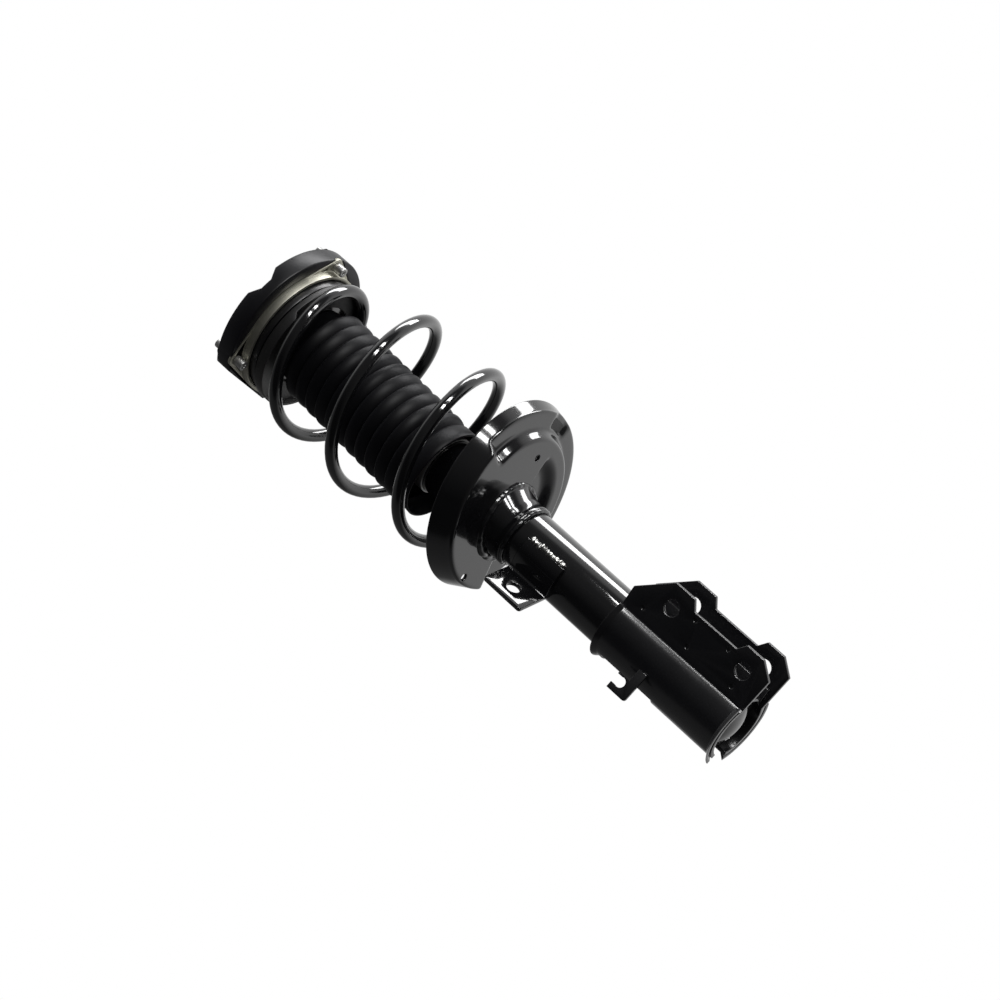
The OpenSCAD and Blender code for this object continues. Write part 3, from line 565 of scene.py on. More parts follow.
def build_finishes() -> Finishes:
    """Build every finish of the strut and return the materials by name."""
    black = (0.019, 0.019, 0.023)
    table = (
        Finish("spring_coat", black, 0.09, 0.03, coat=0.6, dust=0.01, bump=0.012, peel=180.0, grain=900.0),
        Finish("seat_coat", black, 0.12, 0.03, coat=0.5, dust=0.012, rub=0.15, bump=0.012, peel=90.0),
        Finish("tube_coat", black, 0.1, 0.03, coat=0.6, dust=0.01, rub=0.1, bump=0.008, peel=120.0),
        Finish(
            "bracket_coat", (0.028, 0.028, 0.034), 0.2, 0.04, coat=0.3, dust=0.015, rub=0.3, bump=0.014,
            peel=200.0,
        ),
        Finish("tab_coat", black, 0.07, 0.02, coat=0.7, rub=0.2, bump=0.0015, peel=60.0, grain=500.0),
        Finish("painted_weld", black, 0.2, coat=0.4, bump=0.1, peel=500.0, rub=0.4),
        Finish("weld_metal", (0.3, 0.3, 0.29), 0.32, 0.12, metallic=1.0, bump=0.12, peel=500.0, dust=0.05),
        Finish(
            "cover_black", (0.022, 0.022, 0.029), 0.38, 0.06, dust=0.01, rub=0.2, bump=0.03, peel=420.0,
            specular=0.25,
        ),
        Finish("zinc_steel", (0.5, 0.49, 0.41), 0.46, metallic=0.55, bump=0.012, dust=0.03, peel=260.0),
        Finish("bolt_steel", (0.5, 0.5, 0.49), 0.38, 0.06, metallic=0.6, bump=0.012, dust=0.03),
        Finish("boot_rubber", (0.02, 0.02, 0.026), 0.44, dust=0.01, peel=500.0, specular=0.1),
        Finish("rubber", (0.015, 0.015, 0.017), 0.5, 0.08, dust=0.06, bump=0.05, peel=600.0, grain=2500.0),
        Finish("seal_rubber", (0.005, 0.005, 0.005), 0.4),
        Finish("bump_foam", (0.3, 0.25, 0.12), 0.85, dust=0.1, bump=0.25, peel=700.0, grain=3000.0),
        Finish("bearing_plastic", (0.02, 0.02, 0.025), 0.36, dust=0.05, bump=0.03, peel=500.0),
        Finish("bearing_steel", (0.5, 0.5, 0.5), 0.08, 0.02, metallic=1.0, bump=0.002),
        Finish("cast_alloy", (0.4, 0.4, 0.4), 0.42, 0.1, metallic=1.0, bump=0.06, peel=350.0),
        Finish("chrome_rod", (0.55, 0.55, 0.56), 0.06, 0.02, metallic=1.0, bump=0.002, turned=True),
        Finish("sintered_bronze", (0.3, 0.18, 0.08), 0.4, 0.08, metallic=1.0, bump=0.03),
        Finish("drawn_steel", (0.3, 0.3, 0.3), 0.3, 0.08, metallic=1.0, bump=0.01, turned=True),
    )
    effects = Effects()
    return {finish.name: finish.build(effects) for finish in table}


@dataclass
class Assembly:
    """A sub-assembly whose pieces ride on one body.

    Attributes:
        finishes: The strut's materials.
    """

    body: ClassVar[Body]

    finishes: Finishes

    def add(
        self, bm: Mesh, name: str, slot: str, finish: str, replaces: str = "", smooth: float = 40.0
    ) -> bpy.types.Object:
        """Turn a mesh in millimetres into a piece.

        Args:
            bm: Mesh, which is used up.
            name: Name of the piece.
            slot: Material slot of the record; not used.
            finish: Name of its material.
            replaces: CAD node that it stands for, if any.
            smooth: Angle past which an edge shades sharp.

        Returns:
            The piece's object.
        """
        bmesh.ops.scale(bm, vec=(MM,) * 3, verts=bm.verts)
        limit = math.radians(smooth)
        for face in bm.faces:
            face.smooth = True
        for edge in bm.edges:
            edge.smooth = edge.calc_face_angle(0.0) < limit
        made = finished(bm, name)
        made.data.materials.append(self.finishes[finish])
        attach(made, self.body.value)
        if replaces:
            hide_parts(replaces)
        LOG.info("%s: %d faces", name, len(made.data.polygons))
        return made

    def dress(self, finish: str, *nodes: str) -> None:
        """Give CAD nodes that stay a finish."""
        for node in nodes:
            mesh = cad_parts[node].data
            mesh.materials.clear()
            mesh.materials.append(self.finishes[finish])

    def soften_nodes(self, finish: str, slot: str, width: float, segments: int, *nodes: str) -> None:
        """Stand a bevelled copy in for each of some CAD nodes.

        Args:
            finish: Name of the copies' material.
            slot: Record slot of the copies.
            width: Width of the bevels.
            segments: Segments across them.
            nodes: The CAD nodes.
        """
        for node in nodes:
            bm = cad_copy(node)
            soften(bm, width, segments)
            self.add(bm, f"{node}_shown", slot, finish, node)


def shorten(made: bpy.types.Object) -> None:
    """Give a piece a mesh of its own."""
    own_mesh(made)


# ---------------- top mount


@dataclass
class TopMount(Assembly):
    """The studded mount that bolts to the tower, with the rod and its piston.

    Attributes:
        low_r: Radius of the rubber below the plate.
        top_r: Radius of the rubber above the plate.
        hole_r: Radius of the rubber where it passes the plate.
        core_r: Radius of the metal core in the rubber.
        z_low: Height of the rubber's underside.
        z_top: Height of the rubber's top.
        plate_t: Thickness of the plate.
    """

    body: ClassVar[Body] = Body.TOP

    low_r: float = 46.0
    top_r: float = 44.0
    hole_r: float = 37.9
    core_r: float = 20.02
    z_low: float = -9.0
    z_top: float = 6.0
    plate_t: float = 3.0

    def rubber(self) -> None:
        """Build the bonded rubber block."""
        outline = [
            (self.core_r, self.z_low), (self.low_r, self.z_low), (self.low_r, -self.plate_t),
            (self.hole_r, -self.plate_t), (self.hole_r, 0.0), (self.top_r, 0.0),
            (self.top_r, self.z_top), (self.core_r, self.z_top),
        ]
        self.add(spun(rounded(outline, 0.8)), "mount_rubber_block", "rubber", "rubber", "mount_rubber")

    def build(self) -> None:
        """Build and dress the whole sub-assembly."""
        self.rubber()
        self.soften_nodes("cover_black", "cover_black", 1.4, 3, "mount_cover")
        self.soften_nodes("zinc_steel", "zinc_steel", 0.5, 2, "mount_plate")
        self.soften_nodes("bolt_steel", "bolt_steel", 0.3, 2, "mount_studs", "rod_washer", "rod_nut")
        self.soften_nodes("cast_alloy", "alloy", 0.5, 2, "mount_core")
        self.soften_nodes("bearing_plastic", "bearing_plastic", 0.8, 2, "bearing_housing")
        self.dress("chrome_rod", "piston_rod")
        self.dress("bolt_steel", "rebound_stop", "valve_discs", "piston_nut")
        self.dress("cast_alloy", "piston")
        self.dress("seal_rubber", "piston_band")


# ---------------- spring, boot and upper seat


@dataclass
class CoilSpring(Assembly):
    """The coil spring, whose ends are drawn in and laid flat.

    Attributes:
        wire_r: Radius of the wire.
        turns: Number of turns.
        mid_r: Radius of the middle turns.
        low_r: Radius of the lower end.
        top_r: Radius of the upper end.
        open_low: Turns over which the lower end opens out.
        close_low: Turns over which the lower end closes.
        close_top: Turns over which the upper end closes.
        flat_top: Turns that lie flat at the top.
        taper_top: Turns over which the upper end draws in.
        start: Heading of the lower end.
        shift_low: Offset of the axis at the lower end, along and across the lean.
        shift_top: Offset of the axis at the upper end, along and across the lean.
        z_top: Height of the wire's centre at its upper end.
        z_low: Height of the wire's centre at its lower end.
    """

    body: ClassVar[Body] = Body.UPPER

    wire_r: float = 5.75
    turns: float = 3.333
    mid_r: float = 78.3
    low_r: float = 73.0
    top_r: float = 49.0
    open_low: float = 1.5
    close_low: float = 0.84
    close_top: float = 0.2
    flat_top: float = 0.157
    taper_top: float = 1.12
    start: float = -70.0
    shift_low: Point = (12.3, 2.5)
    shift_top: Point = (3.5, -3.0)
    z_top: float = -30.55
    z_low: float = field(init=False)

    def __post_init__(self) -> None:
        """Take the lower end's height from the frame."""
        self.z_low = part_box("coil_spring")[0].z / MM + self.wire_r

    def climb(self, s: float) -> float:
        """Rise of the wire after s turns, in pitches."""
        rise = self.turns - self.flat_top
        if s < self.close_low:
            return s * s / (2 * self.close_low)
        if s < rise - self.close_top:
            return s - self.close_low / 2
        last = max(0.0, rise - s)
        return rise - self.close_low / 2 - self.close_top / 2 - last**2 / (2 * self.close_top)

    def centre(self, s: float) -> Vector:
        """Centre of the wire after s turns."""
        radius = (
            self.low_r + (self.mid_r - self.low_r) * ease(s / self.open_low)
            - (self.mid_r - self.top_r) * max(0.0, 1 - (self.turns - s) / self.taper_top) ** 2
        )
        share = s / self.turns
        along, across = (low * (1 - share) + top * share for low, top in zip(self.shift_low, self.shift_top))
        point = polar(along, LEAN) + polar(across, LEAN + 90) + polar(radius, LEAN + self.start + 360 * s)
        point.z = self.z_low + (self.z_top - self.z_low) * self.climb(s) / self.climb(self.turns)
        return point

    def stations(self, steps_per_turn: int) -> list[Matrix]:
        """Placements along the wire's centre line."""
        count = math.ceil(self.turns * steps_per_turn)
        near = 0.002
        places = []
        for i in range(count + 1):
            s = self.turns * i / count
            along = self.centre(min(self.turns, s + near)) - self.centre(max(0.0, s - near))
            places.append(station(self.centre(s), along, -Vector((0.0, 0.0, 1.0)).cross(along)))
        return places

    def build(self) -> None:
        """Build the spring on a mesh of its own."""
        bm = swept(self.stations(72), arc((0.0, 0.0), self.wire_r, 0.0, 345.0, 23))
        ends = [e for e in bm.edges if any(len(f.verts) > 4 for f in e.link_faces)]
        bevel(bm, ends, 0.7, 3, clamp=True)
        made = self.add(bm, "coil_spring_wire", "spring_coat", "spring_coat", "coil_spring", 50.0)
        shorten(made)


@dataclass
class DustBoot(Assembly):
    """The bellows round the rod, with its smooth cuff over the tube.

    Attributes:
        crest_r: Radius of the ribs' crests.
        depth: Depth of the grooves between ribs.
        ribs: Number of ribs.
        peak: Share of a rib above its crest.
        steps: Shares of a rib at which its section has a point.
        wall: Wall of the bellows.
        z_top: Height of the first rib's upper edge.
        z_low: Height of the last rib's lower edge.
        z_end: Height of the cuff's lower end.
        drift: How far the lower end hangs off the axis.
        collar_r: Inside radius of the upper collar.
        collar_top: Height of the collar's upper end.
        collar_low: Height of the collar's lower end.
    """

    body: ClassVar[Body] = Body.UPPER

    crest_r: float = 45.0
    depth: float = 4.5
    ribs: int = 11
    peak: float = 0.27
    steps: tuple[float, ...] = (
        0.0, 0.03, 0.07, 0.12, 0.17, 0.22, 0.27, 0.33, 0.4, 0.48, 0.56, 0.64, 0.72, 0.8, 0.87, 0.93, 0.97,
    )
    wall: float = 1.6
    z_top: float = -38.5
    z_low: float = -188.0
    z_end: float = -206.0
    drift: float = 7.0
    collar_r: float = 35.2
    collar_top: float = -24.2
    collar_low: float = -36.5

    def rib(self, top: float, pitch: float, inset: float) -> list[Point]:
        """Section of one rib, from its upper groove to the next.

        Args:
            top: Height of the groove above it.
            pitch: Height of the rib.
            inset: Distance that the section is drawn in, for the inner side.

        Returns:
            The section's points.
        """
        points = []
        for t in self.steps:
            if t < self.peak:
                share = ((self.peak - t) / self.peak) ** 1.9
            else:
                share = ((t - self.peak) / (1 - self.peak)) ** 2.3
            points.append((self.crest_r - self.depth * share - inset, top - pitch * t))
        return points

    def side(self, inset: float) -> list[Point]:
        """One side of the bellows' section, from the collar down to the cuff's end."""
        pitch = (self.z_top - self.z_low) / self.ribs
        valley = self.crest_r - self.depth - inset
        crest = self.crest_r - inset
        collar = self.collar_r + self.wall - inset
        points = [(collar, self.collar_top), (collar, self.collar_low), (valley - 2.6, self.collar_low - 1.0)]
        for i in range(self.ribs):
            points += self.rib(self.z_top - i * pitch, pitch, inset)
        return points + [
            (valley, self.z_low), (valley + 1.1, self.z_low - 1.4), (crest - 1.6, self.z_low - 4.0),
            (crest - 1.2, self.z_end + 5.0), (crest - 0.9, self.z_end + 0.5),
        ]

    def build(self) -> None:
        """Build the boot and lean it off the axis, on a mesh of its own."""
        lip = [(self.crest_r - 1.3, self.z_end), (self.crest_r - 1.0 - self.wall, self.z_end)]
        bm = spun(self.side(0.0) + lip + self.side(self.wall)[::-1], 128)
        slope = self.drift / (self.z_top - self.z_end)
        for v in bm.verts:
            v.co -= polar(max(0.0, self.z_top - v.co.z) * slope, LEAN)
        made = self.add(bm, "dust_boot_bellows", "boot_rubber", "boot_rubber", "dust_boot", 60.0)
        shorten(made)


@dataclass
class UpperSeat(Assembly):
    """The bearing and the seat that the spring's upper end turns with.

    Attributes:
        pad_r: Outside radius of the isolator.
        pad_in_r: Inside radius of the isolator.
        step: Width of the step on which its edge wraps up round the seat.
        lip_t: Thickness of its hanging lip.
        lip_h: Height of that lip.
        lip_least: Height of the lip where it doesn't hang.
        hang_from: Headings from the lean between which the lip starts to hang.
        hang_to: Headings from the lean between which it stops.
        z_top: Height of the isolator's top face.
        z_low: Height of its underside.
        z_edge: Height to which its edge wraps up round the seat.
        bump_r: Radius of the bump stop.
        bump_bore: Radius of the bump stop's bore.
        bump_top: Height of the bump stop's top.
        bump_len: Length of the bump stop.
        bump_waist: Depth of its two waists.
    """

    body: ClassVar[Body] = Body.UPPER

    pad_r: float = 63.0
    pad_in_r: float = 41.0
    step: float = 1.9
    lip_t: float = 2.0
    lip_h: float = 5.3
    lip_least: float = 0.6
    hang_from: Point = (38.0, 44.0)
    hang_to: Point = (276.0, 282.0)
    z_top: float = -22.5
    z_low: float = -24.5
    z_edge: float = -20.0
    bump_r: float = 25.0
    bump_bore: float = 11.6
    bump_top: float = -34.5
    bump_len: float = 44.0
    bump_waist: float = 4.0

    def isolator(self) -> None:
        """Build the rubber pad above the spring, whose lip hangs down along most of its edge."""
        edge = self.pad_r - self.step
        lip_r = self.pad_r - self.lip_t
        outline = [
            (self.pad_in_r, self.z_low), (lip_r, self.z_low), (lip_r, self.z_low - self.lip_least),
            (self.pad_r, self.z_low - self.lip_least), (self.pad_r, self.z_edge), (edge, self.z_edge),
            (edge, self.z_top), (self.pad_in_r, self.z_top),
        ]
        bm = spun(rounded(outline, 0.5), 144)
        for v in bm.verts:
            heading = (math.degrees(math.atan2(v.co.y, v.co.x)) - LEAN) % 360
            hang = ramp(heading, *self.hang_from) * (1 - ramp(heading, *self.hang_to))
            if v.co.z < self.z_low - 0.05:
                v.co.z -= hang * (self.lip_h - self.lip_least)
        self.add(bm, "spring_pad_upper", "rubber", "rubber", "upper_isolator")

    def bump_stop(self) -> None:
        """Build the foam bump stop with its two waists."""
        outline: list[Point] = []
        steps, humps, rounding, slack = 30, 3, 1.0, 0.2
        for k in range(steps + 1):
            t = humps * k / steps
            waist = self.bump_waist * math.cos(math.pi * t) ** 8 if 0.5 < t < humps - 0.5 else 0.0
            drop = (self.bump_len - 2 * rounding) * t / humps
            outline.append((self.bump_r - slack - waist, self.bump_top - rounding - drop))
        z_end = self.bump_top - self.bump_len
        outline += [
            (self.bump_r - 3.0, z_end), (self.bump_bore, z_end), (self.bump_bore, self.bump_top),
            (self.bump_r - 2.0, self.bump_top),
        ]
        self.add(spun(outline, 72), "bump_stop_foam", "foam", "bump_foam", "bump_stop")

    def build(self) -> None:
        """Build and dress the whole sub-assembly."""
        self.isolator()
        self.bump_stop()
        CoilSpring(self.finishes).build()
        DustBoot(self.finishes).build()
        self.soften_nodes("seat_coat", "black_paint", 0.4, 2, "upper_spring_seat")
        self.dress("bearing_steel", "bearing_balls")
        self.dress("bearing_plastic", "bearing_cage", "bearing_race")


# ---------------- welds and tab


@dataclass(frozen=True)
class Bead:
    """A rough weld bead.

    Attributes:
        radius: Mean radius of the bead.
        lump: Height of its lumps.
        pitch: Distance between its ripples.
        ripple: Height of the ripples.
        seed: Offset into the noise.
        sides: Vertices round it.
    """

    radius: float
    lump: float
    pitch: float
    ripple: float
    seed: float
    sides: int = 14

    def roughen(self, bm: Mesh, lengths: Sequence[float]) -> None:
        """Roughen a plain tube whose vertices come ring by ring.

        Args:
            bm: Mesh of the tube.
            lengths: Distance along the bead of each ring.
        """
        bm.normal_update()
        bm.verts.ensure_lookup_table()
        shift = Vector((self.seed, self.seed, 0.0))
        coarse_size, fine_size = self.pitch * 1.4, self.pitch * 0.45
        fine_share, wander, mean_wave = 0.45, 1.5, 0.6
        for v in bm.verts:
            along = lengths[v.index // self.sides]
            coarse = noise.noise(v.co / coarse_size + shift)
            fine = noise.noise(v.co / fine_size - shift)
            wave = abs(math.sin(math.pi * along / self.pitch + wander * coarse))
            v.co += v.normal * (self.lump * (coarse + fine_share * fine) + self.ripple * (wave - mean_wave))

    def laid(self, points: Sequence[Vector], closed: bool) -> Mesh:
        """Rough tube along a row of points, joined to itself where it is closed."""
        section = arc((0.0, 0.0), self.radius, 0.0, 360.0 * (self.sides - 1) / self.sides, self.sides - 1)
        count = len(points)
        lengths, total = [], 0.0
        bm = bmesh.new()
        rings = []
        for i, point in enumerate(points):
            ahead = points[(i + 1) % count] if closed or i + 1 < count else point
            back = points[i - 1] if closed or i else point
            place = station(point, ahead - back, Vector((point.x, point.y, 0.0)))
            rings.append([bm.verts.new(place @ Vector((x, y, 0.0))) for x, y in section])
            lengths.append(total)
            total += (ahead - point).length
        bm.verts.index_update()
        for first, second in zip(rings, rings[1:] + rings[:1] if closed else rings[1:]):
            pairs = [(ring[k - 1], ring[k]) for ring in (first, second) for k in range(self.sides)]
            bmesh.ops.bridge_loops(bm, edges=[bm.edges.get(pair) or bm.edges.new(pair) for pair in pairs])
        if not closed:
            for ring in (rings[0], rings[-1]):
                bm.faces.new(ring)
        bmesh.ops.recalc_face_normals(bm, faces=bm.faces)
        self.roughen(bm, lengths)
        return bm


@dataclass
class LinkTab(Assembly):
    """The bent tab that carries the stabiliser's link, on a saddle round the tube.

    Attributes:
        inner_r: Inside radius of the saddle.
        sheet: Thickness of the sheet.
        width: Length of the saddle along the tube.
        middle_z: Height of its middle.
        saddle_from: Heading of the bend.
        saddle_to: Heading of the saddle's free edge.
        heading: Heading in which the tab points.
        end: Distance of the tab's end from the strut's axis, along its heading.
        corner: Size of the rounds at that end's corners.
        hole_at: Distance of its hole from the strut's axis, along its heading.
        hole_r: Radius of the hole.
        bend_r: Inside radius of the bend.
        edge: Width of the soft edges.
        weld: Bead along the saddle's free edge.
        weld_out: Distance of the bead's centre from the inside of the saddle.
        weld_past: Angle from the saddle's free edge to the bead's centre.
        weld_wander: Angle by which the bead wanders.
        weld_inset: Distance of the bead's ends from the saddle's.
        weld_spots: Number of chords along the bead.
    """

    body: ClassVar[Body] = Body.STRUT

    inner_r: float = 27.1
    sheet: float = 4.0
    width: float = 43.0
    middle_z: float = -336.0
    saddle_from: float = 234.0
    saddle_to: float = 295.0
    heading: float = 251.0
    end: float = 63.9
    corner: float = 2.6
    hole_at: float = 49.1
    hole_r: float = 6.25
    bend_r: float = 2.5
    edge: float = 0.55
    weld: Bead = Bead(2.7, 1.5, 3.6, 1.2, 4.0)
    weld_out: float = 1.9
    weld_past: float = 2.2
    weld_wander: float = 2.2
    weld_inset: float = 2.0
    weld_spots: int = 80

    def __post_init__(self) -> None:
        """Work out how far the tab's middle plane is from the strut's axis."""
        bend = math.radians(self.saddle_from - self.heading)
        self.plane = (self.inner_r + self.sheet / 2) * math.sin(bend)

    def outline(self) -> list[Point]:
        """Outline of the bent sheet seen along the tube, in the tab's own heading."""
        outer_r = self.inner_r + self.sheet
        low, high = self.plane - self.sheet / 2, self.plane + self.sheet / 2
        free = self.saddle_to - self.heading
        inside, outside = math.asin(low / self.inner_r), math.asin(high / outer_r)
        root_gap, fillet_gap = 0.2, 0.9
        root_turn, fillet_turn = math.degrees(inside) + 1.0, math.degrees(outside) + 8.5
        points = arc((0.0, 0.0), self.inner_r, free, root_turn, 40)
        points += [(self.inner_r * math.cos(inside) + root_gap, low), (self.end, low), (self.end, high)]
        fillet_x = outer_r * math.cos(outside) + self.bend_r + fillet_gap
        points += arc((fillet_x, high + self.bend_r), self.bend_r, 270.0, 200.0, 6)
        return points + arc((0.0, 0.0), outer_r, fillet_turn, free, 40)

    def sheet_mesh(self) -> Mesh:
        """Bent sheet with its hole and its rounded corners."""
        bm = bmesh.new()
        low = self.middle_z - self.width / 2
        base = bm.faces.new([bm.verts.new((x, y, low)) for x, y in self.outline()])
        grown = bmesh.ops.extrude_face_region(bm, geom=[base])["geom"]
        bmesh.ops.translate(bm, vec=(0, 0, self.width), verts=only(grown, Vert))
        bmesh.ops.recalc_face_normals(bm, faces=bm.faces)
        corners = [
            e for e in bm.edges
            if all(abs(v.co.x - self.end) < 0.01 for v in e.verts)
            and abs(e.verts[0].co.z - e.verts[1].co.z) < 0.01
        ]
        bevel(bm, corners, self.corner, 6)
        hole = Matrix.Translation((self.hole_at, self.plane, self.middle_z))
        bm = bored(bm, hole @ Matrix.Rotation(math.pi / 2, 4, "X"), self.hole_r, 3 * self.sheet)
        bmesh.ops.dissolve_limit(bm, angle_limit=math.radians(0.5), verts=bm.verts, edges=bm.edges)
        soften(bm, self.edge, 3, 50.0)
        turn = Matrix.Rotation(math.radians(self.heading), 3, "Z")
        bmesh.ops.rotate(bm, cent=(0, 0, 0), matrix=turn, verts=bm.verts)
        return bm

    def weld_mesh(self) -> Mesh:
        """Wandering weld bead along the saddle's free edge."""
        z_from = self.middle_z - self.width / 2 + self.weld_inset
        z_to = self.middle_z + self.width / 2 - self.weld_inset
        spots = []
        for k in range(self.weld_spots + 1):
            z = z_from + (z_to - z_from) * k / self.weld_spots
            wander = self.weld_wander * noise.noise(Vector((z / self.sheet, 3.0, 1.0)))
            spot = polar(self.inner_r + self.weld_out, self.saddle_to + self.weld_past + wander)
            spots.append(spot + Vector((0, 0, z)))
        return self.weld.laid(spots, False)

    def build(self) -> None:
        """Build the tab and its weld."""
        self.add(self.sheet_mesh(), "link_tab_sheet", "tab_steel", "tab_coat", "link_tab")
        self.add(self.weld_mesh(), "link_weld_bead", "weld_metal", "weld_metal", "link_weld", 80.0)


# ---------------- lower seat


@dataclass(frozen=True)
class Press:
    """A patch of the seat's face that is pressed up.

    Attributes:
        height: Height to which it is pressed.
        turns: Headings of its two ends.
        soft: Angle over which each end runs out.
        rise: Radii between which it rises.
        fall: Radii between which it falls again.
    """

    height: float
    turns: Point
    soft: float
    rise: Point
    fall: Point

    def at(self, r: float, turn: float) -> float:
        """Height at a radius and a heading."""
        height = self.height * within_arc(turn, *self.turns, self.soft)
        return height * ramp(r, *self.rise) * (1 - ramp(r, *self.fall))


@dataclass
class LowerSeat(Assembly):
    """The dished seat under the spring, in its own tilted frame.

    Attributes:
        tilt: Tilt of the seat.
        heading: Heading of the side that its normal leans to.
        offset: Distance of its middle from the strut's axis.
        z_axis: Height of the raised track's underside at the strut's axis.
        sheet: Thickness of the sheet.
        drop: Distance from the track down to the face.
        start_r: Radius at which the sheet starts, well inside its bore.
        face_r: Radius of the face.
        rim_r: Radius of the rim.
        rim_h: Height of the rim above the track.
        fold_r: Radius of the round between face and wall.
        bore_r: Radius of the hole round the tube.
        track_r: Radius at which the raised track starts.
        track_from: Heading of the track's first end, in the seat's frame.
        track_arc: Angle that the track runs round before it climbs.
        high_arc: Angle that its higher end runs round.
        high_h: Height of that end above the track.
        high_r: Radius at which that end starts.
        track_rise: Distances from track_r between which the track rises.
        high_rise: Distances from high_r between which the higher end rises.
        climb: Angles from the end of track_arc between which the track climbs.
        end_soft: Angle over which the track's ends run out.
        pad_t: Thickness of the rubber pad on the track.
        pad_arc: Angle that the pad runs round.
        pocket: Patch that locates the pad.
        hollow: Patch beside the neck.
        holes: Place in radius and heading, and radius, of each hole in the face.
        rim_edge: Width of the soft edges of rim and holes.
        neck_h: Height of the neck's straight foot.
        flare_h: Height over which the neck flares out.
        flare_r: Width of that flare.
        low_weld: Bead round the neck's lower end.
        up_weld: Bead between neck and dish.
    """

    body: ClassVar[Body] = Body.STRUT

    tilt: float = 11.0
    heading: float = 165.0
    offset: float = 14.4
    z_axis: float = -269.0
    sheet: float = 3.0
    drop: float = 9.0
    start_r: float = 14.0
    face_r: float = 82.4
    rim_r: float = 89.0
    rim_h: float = 13.5
    fold_r: float = 4.0
    bore_r: float = 27.15
    track_r: float = 66.0
    track_from: float = -53.0
    track_arc: float = 165.0
    high_arc: float = 65.0
    high_h: float = 9.0
    high_r: float = 47.0
    track_rise: Point = (-5.0, 3.0)
    high_rise: Point = (-3.0, 3.0)
    climb: Point = (-22.0, 12.0)
    end_soft: float = 2.4
    pad_t: float = 2.5
    pad_arc: float = 97.0
    pocket: Press = Press(4.0, (13.5, 30.5), 3.0, (69.5, 74.0), (77.0, 82.0))
    hollow: Press = Press(7.0, (21.0, 118.0), 2.2, (-1.0, 0.0), (36.0, 51.0))
    holes: tuple[tuple[float, float, float], ...] = ((76.5, -154.0, 3.5), (45.0, -1.0, 3.2))
    rim_edge: float = 0.5
    neck_h: float = 8.0
    flare_h: float = 26.0
    flare_r: float = 11.0
    low_weld: Bead = Bead(2.0, 0.6, 7.5, 0.15, 2.0)
    up_weld: Bead = Bead(3.3, 1.3, 11.0, 0.25, 7.0)

    def __post_init__(self) -> None:
        """Work out the placement of the seat's frame in the strut's."""
        middle = polar(self.offset, LEAN)
        slope = math.tan(math.radians(self.tilt))
        middle.z = self.z_axis - slope * middle.dot(polar(1.0, self.heading))
        turn = Matrix.Rotation(math.radians(self.tilt), 4, polar(1.0, self.heading + 90))
        self.placement = Matrix.Translation(middle) @ turn
        self.fold_z = -self.drop + self.fold_r

    def wall_r(self, h: float) -> float:
        """Radius of the outside of the wall at a height."""
        return self.face_r + (self.rim_r - self.face_r) * (h - self.fold_z) / (self.rim_h - self.fold_z)

    def section(self) -> list[Point]:
        """Section of the seat's underside, from its bore out and up to the rim."""
        last = self.face_r - self.fold_r - 0.6
        face = [(self.start_r + i, -self.drop) for i in range(int(last - self.start_r) + 1)]
        fold = arc((self.face_r - self.fold_r, self.fold_z), self.fold_r, -90.0, 0.0, 10)
        walls = [self.fold_z + (self.rim_h - self.fold_z) * k / 10 for k in range(1, 11)]
        return face + fold + [(self.wall_r(h), h) for h in walls]

    def pressed(self, r: float, turn: float) -> float:
        """Height to which the face is pressed up at a radius and a heading."""
        high_from = self.track_from + self.track_arc
        end = high_from + self.high_arc
        track = self.drop * within_arc(turn, self.track_from, end, self.end_soft)
        track *= ramp(r, *(self.track_r + away for away in self.track_rise))
        high = (self.drop + self.high_h) * ramp(r, *(self.high_r + away for away in self.high_rise))
        share = within_arc(turn, high_from - 4.0, end, self.end_soft)
        share *= ramp((turn - self.track_from) % 360, *(self.track_arc + away for away in self.climb))
        return track + (high - track) * share + self.pocket.at(r, turn) + self.hollow.at(r, turn)

    def shaped(self, r: float, h: float, turn: float) -> Point:
        """Radius and height of a point of the plain section once the seat is pressed to shape."""
        if h <= -self.drop + 1e-6:
            return r, h + self.pressed(r, turn)
        up = (h + self.drop) / (self.rim_h + self.drop)
        lifted = h + self.pressed(self.face_r - self.fold_r, turn) * (1 - up)
        return r + self.wall_r(lifted) - self.wall_r(h), lifted

    def build_dish(self) -> None:
        """Build the pressed dish."""
        bm = spun(self.section(), 360, closed=False)
        for v in bm.verts:
            turn = math.degrees(math.atan2(v.co.y, v.co.x))
            out, h = self.shaped(math.hypot(v.co.x, v.co.y), v.co.z, turn)
            v.co = polar(out, turn) + Vector((0, 0, h))
        if sum(f.normal.z for f in bm.faces) > 0:
            bmesh.ops.reverse_faces(bm, faces=bm.faces)
        for _ in range(3):
            bmesh.ops.smooth_vert(
                bm, verts=[v for v in bm.verts if not v.is_boundary], factor=0.5,
                use_axis_x=True, use_axis_y=True, use_axis_z=True,
            )
        for radius, turn, hole_r in self.holes:
            pierce(bm, Matrix.Translation(polar(radius, turn) + Vector((0, 0, -self.drop))), hole_r, 12.0)
        pierce(bm, self.placement.inverted(), self.bore_r, 400.0)
        bm.normal_update()
        bmesh.ops.solidify(bm, geom=bm.faces, thickness=self.sheet)
        bmesh.ops.recalc_face_normals(bm, faces=bm.faces)
        rim = [e for e in bm.edges if e.calc_face_angle(0.0) > math.radians(60)]
        bevel(bm, rim, self.rim_edge, 3)
        bmesh.ops.transform(bm, matrix=self.placement, verts=bm.verts)
        self.add(bm, "lower_seat_dish", "black_paint", "seat_coat", "lower_spring_seat")

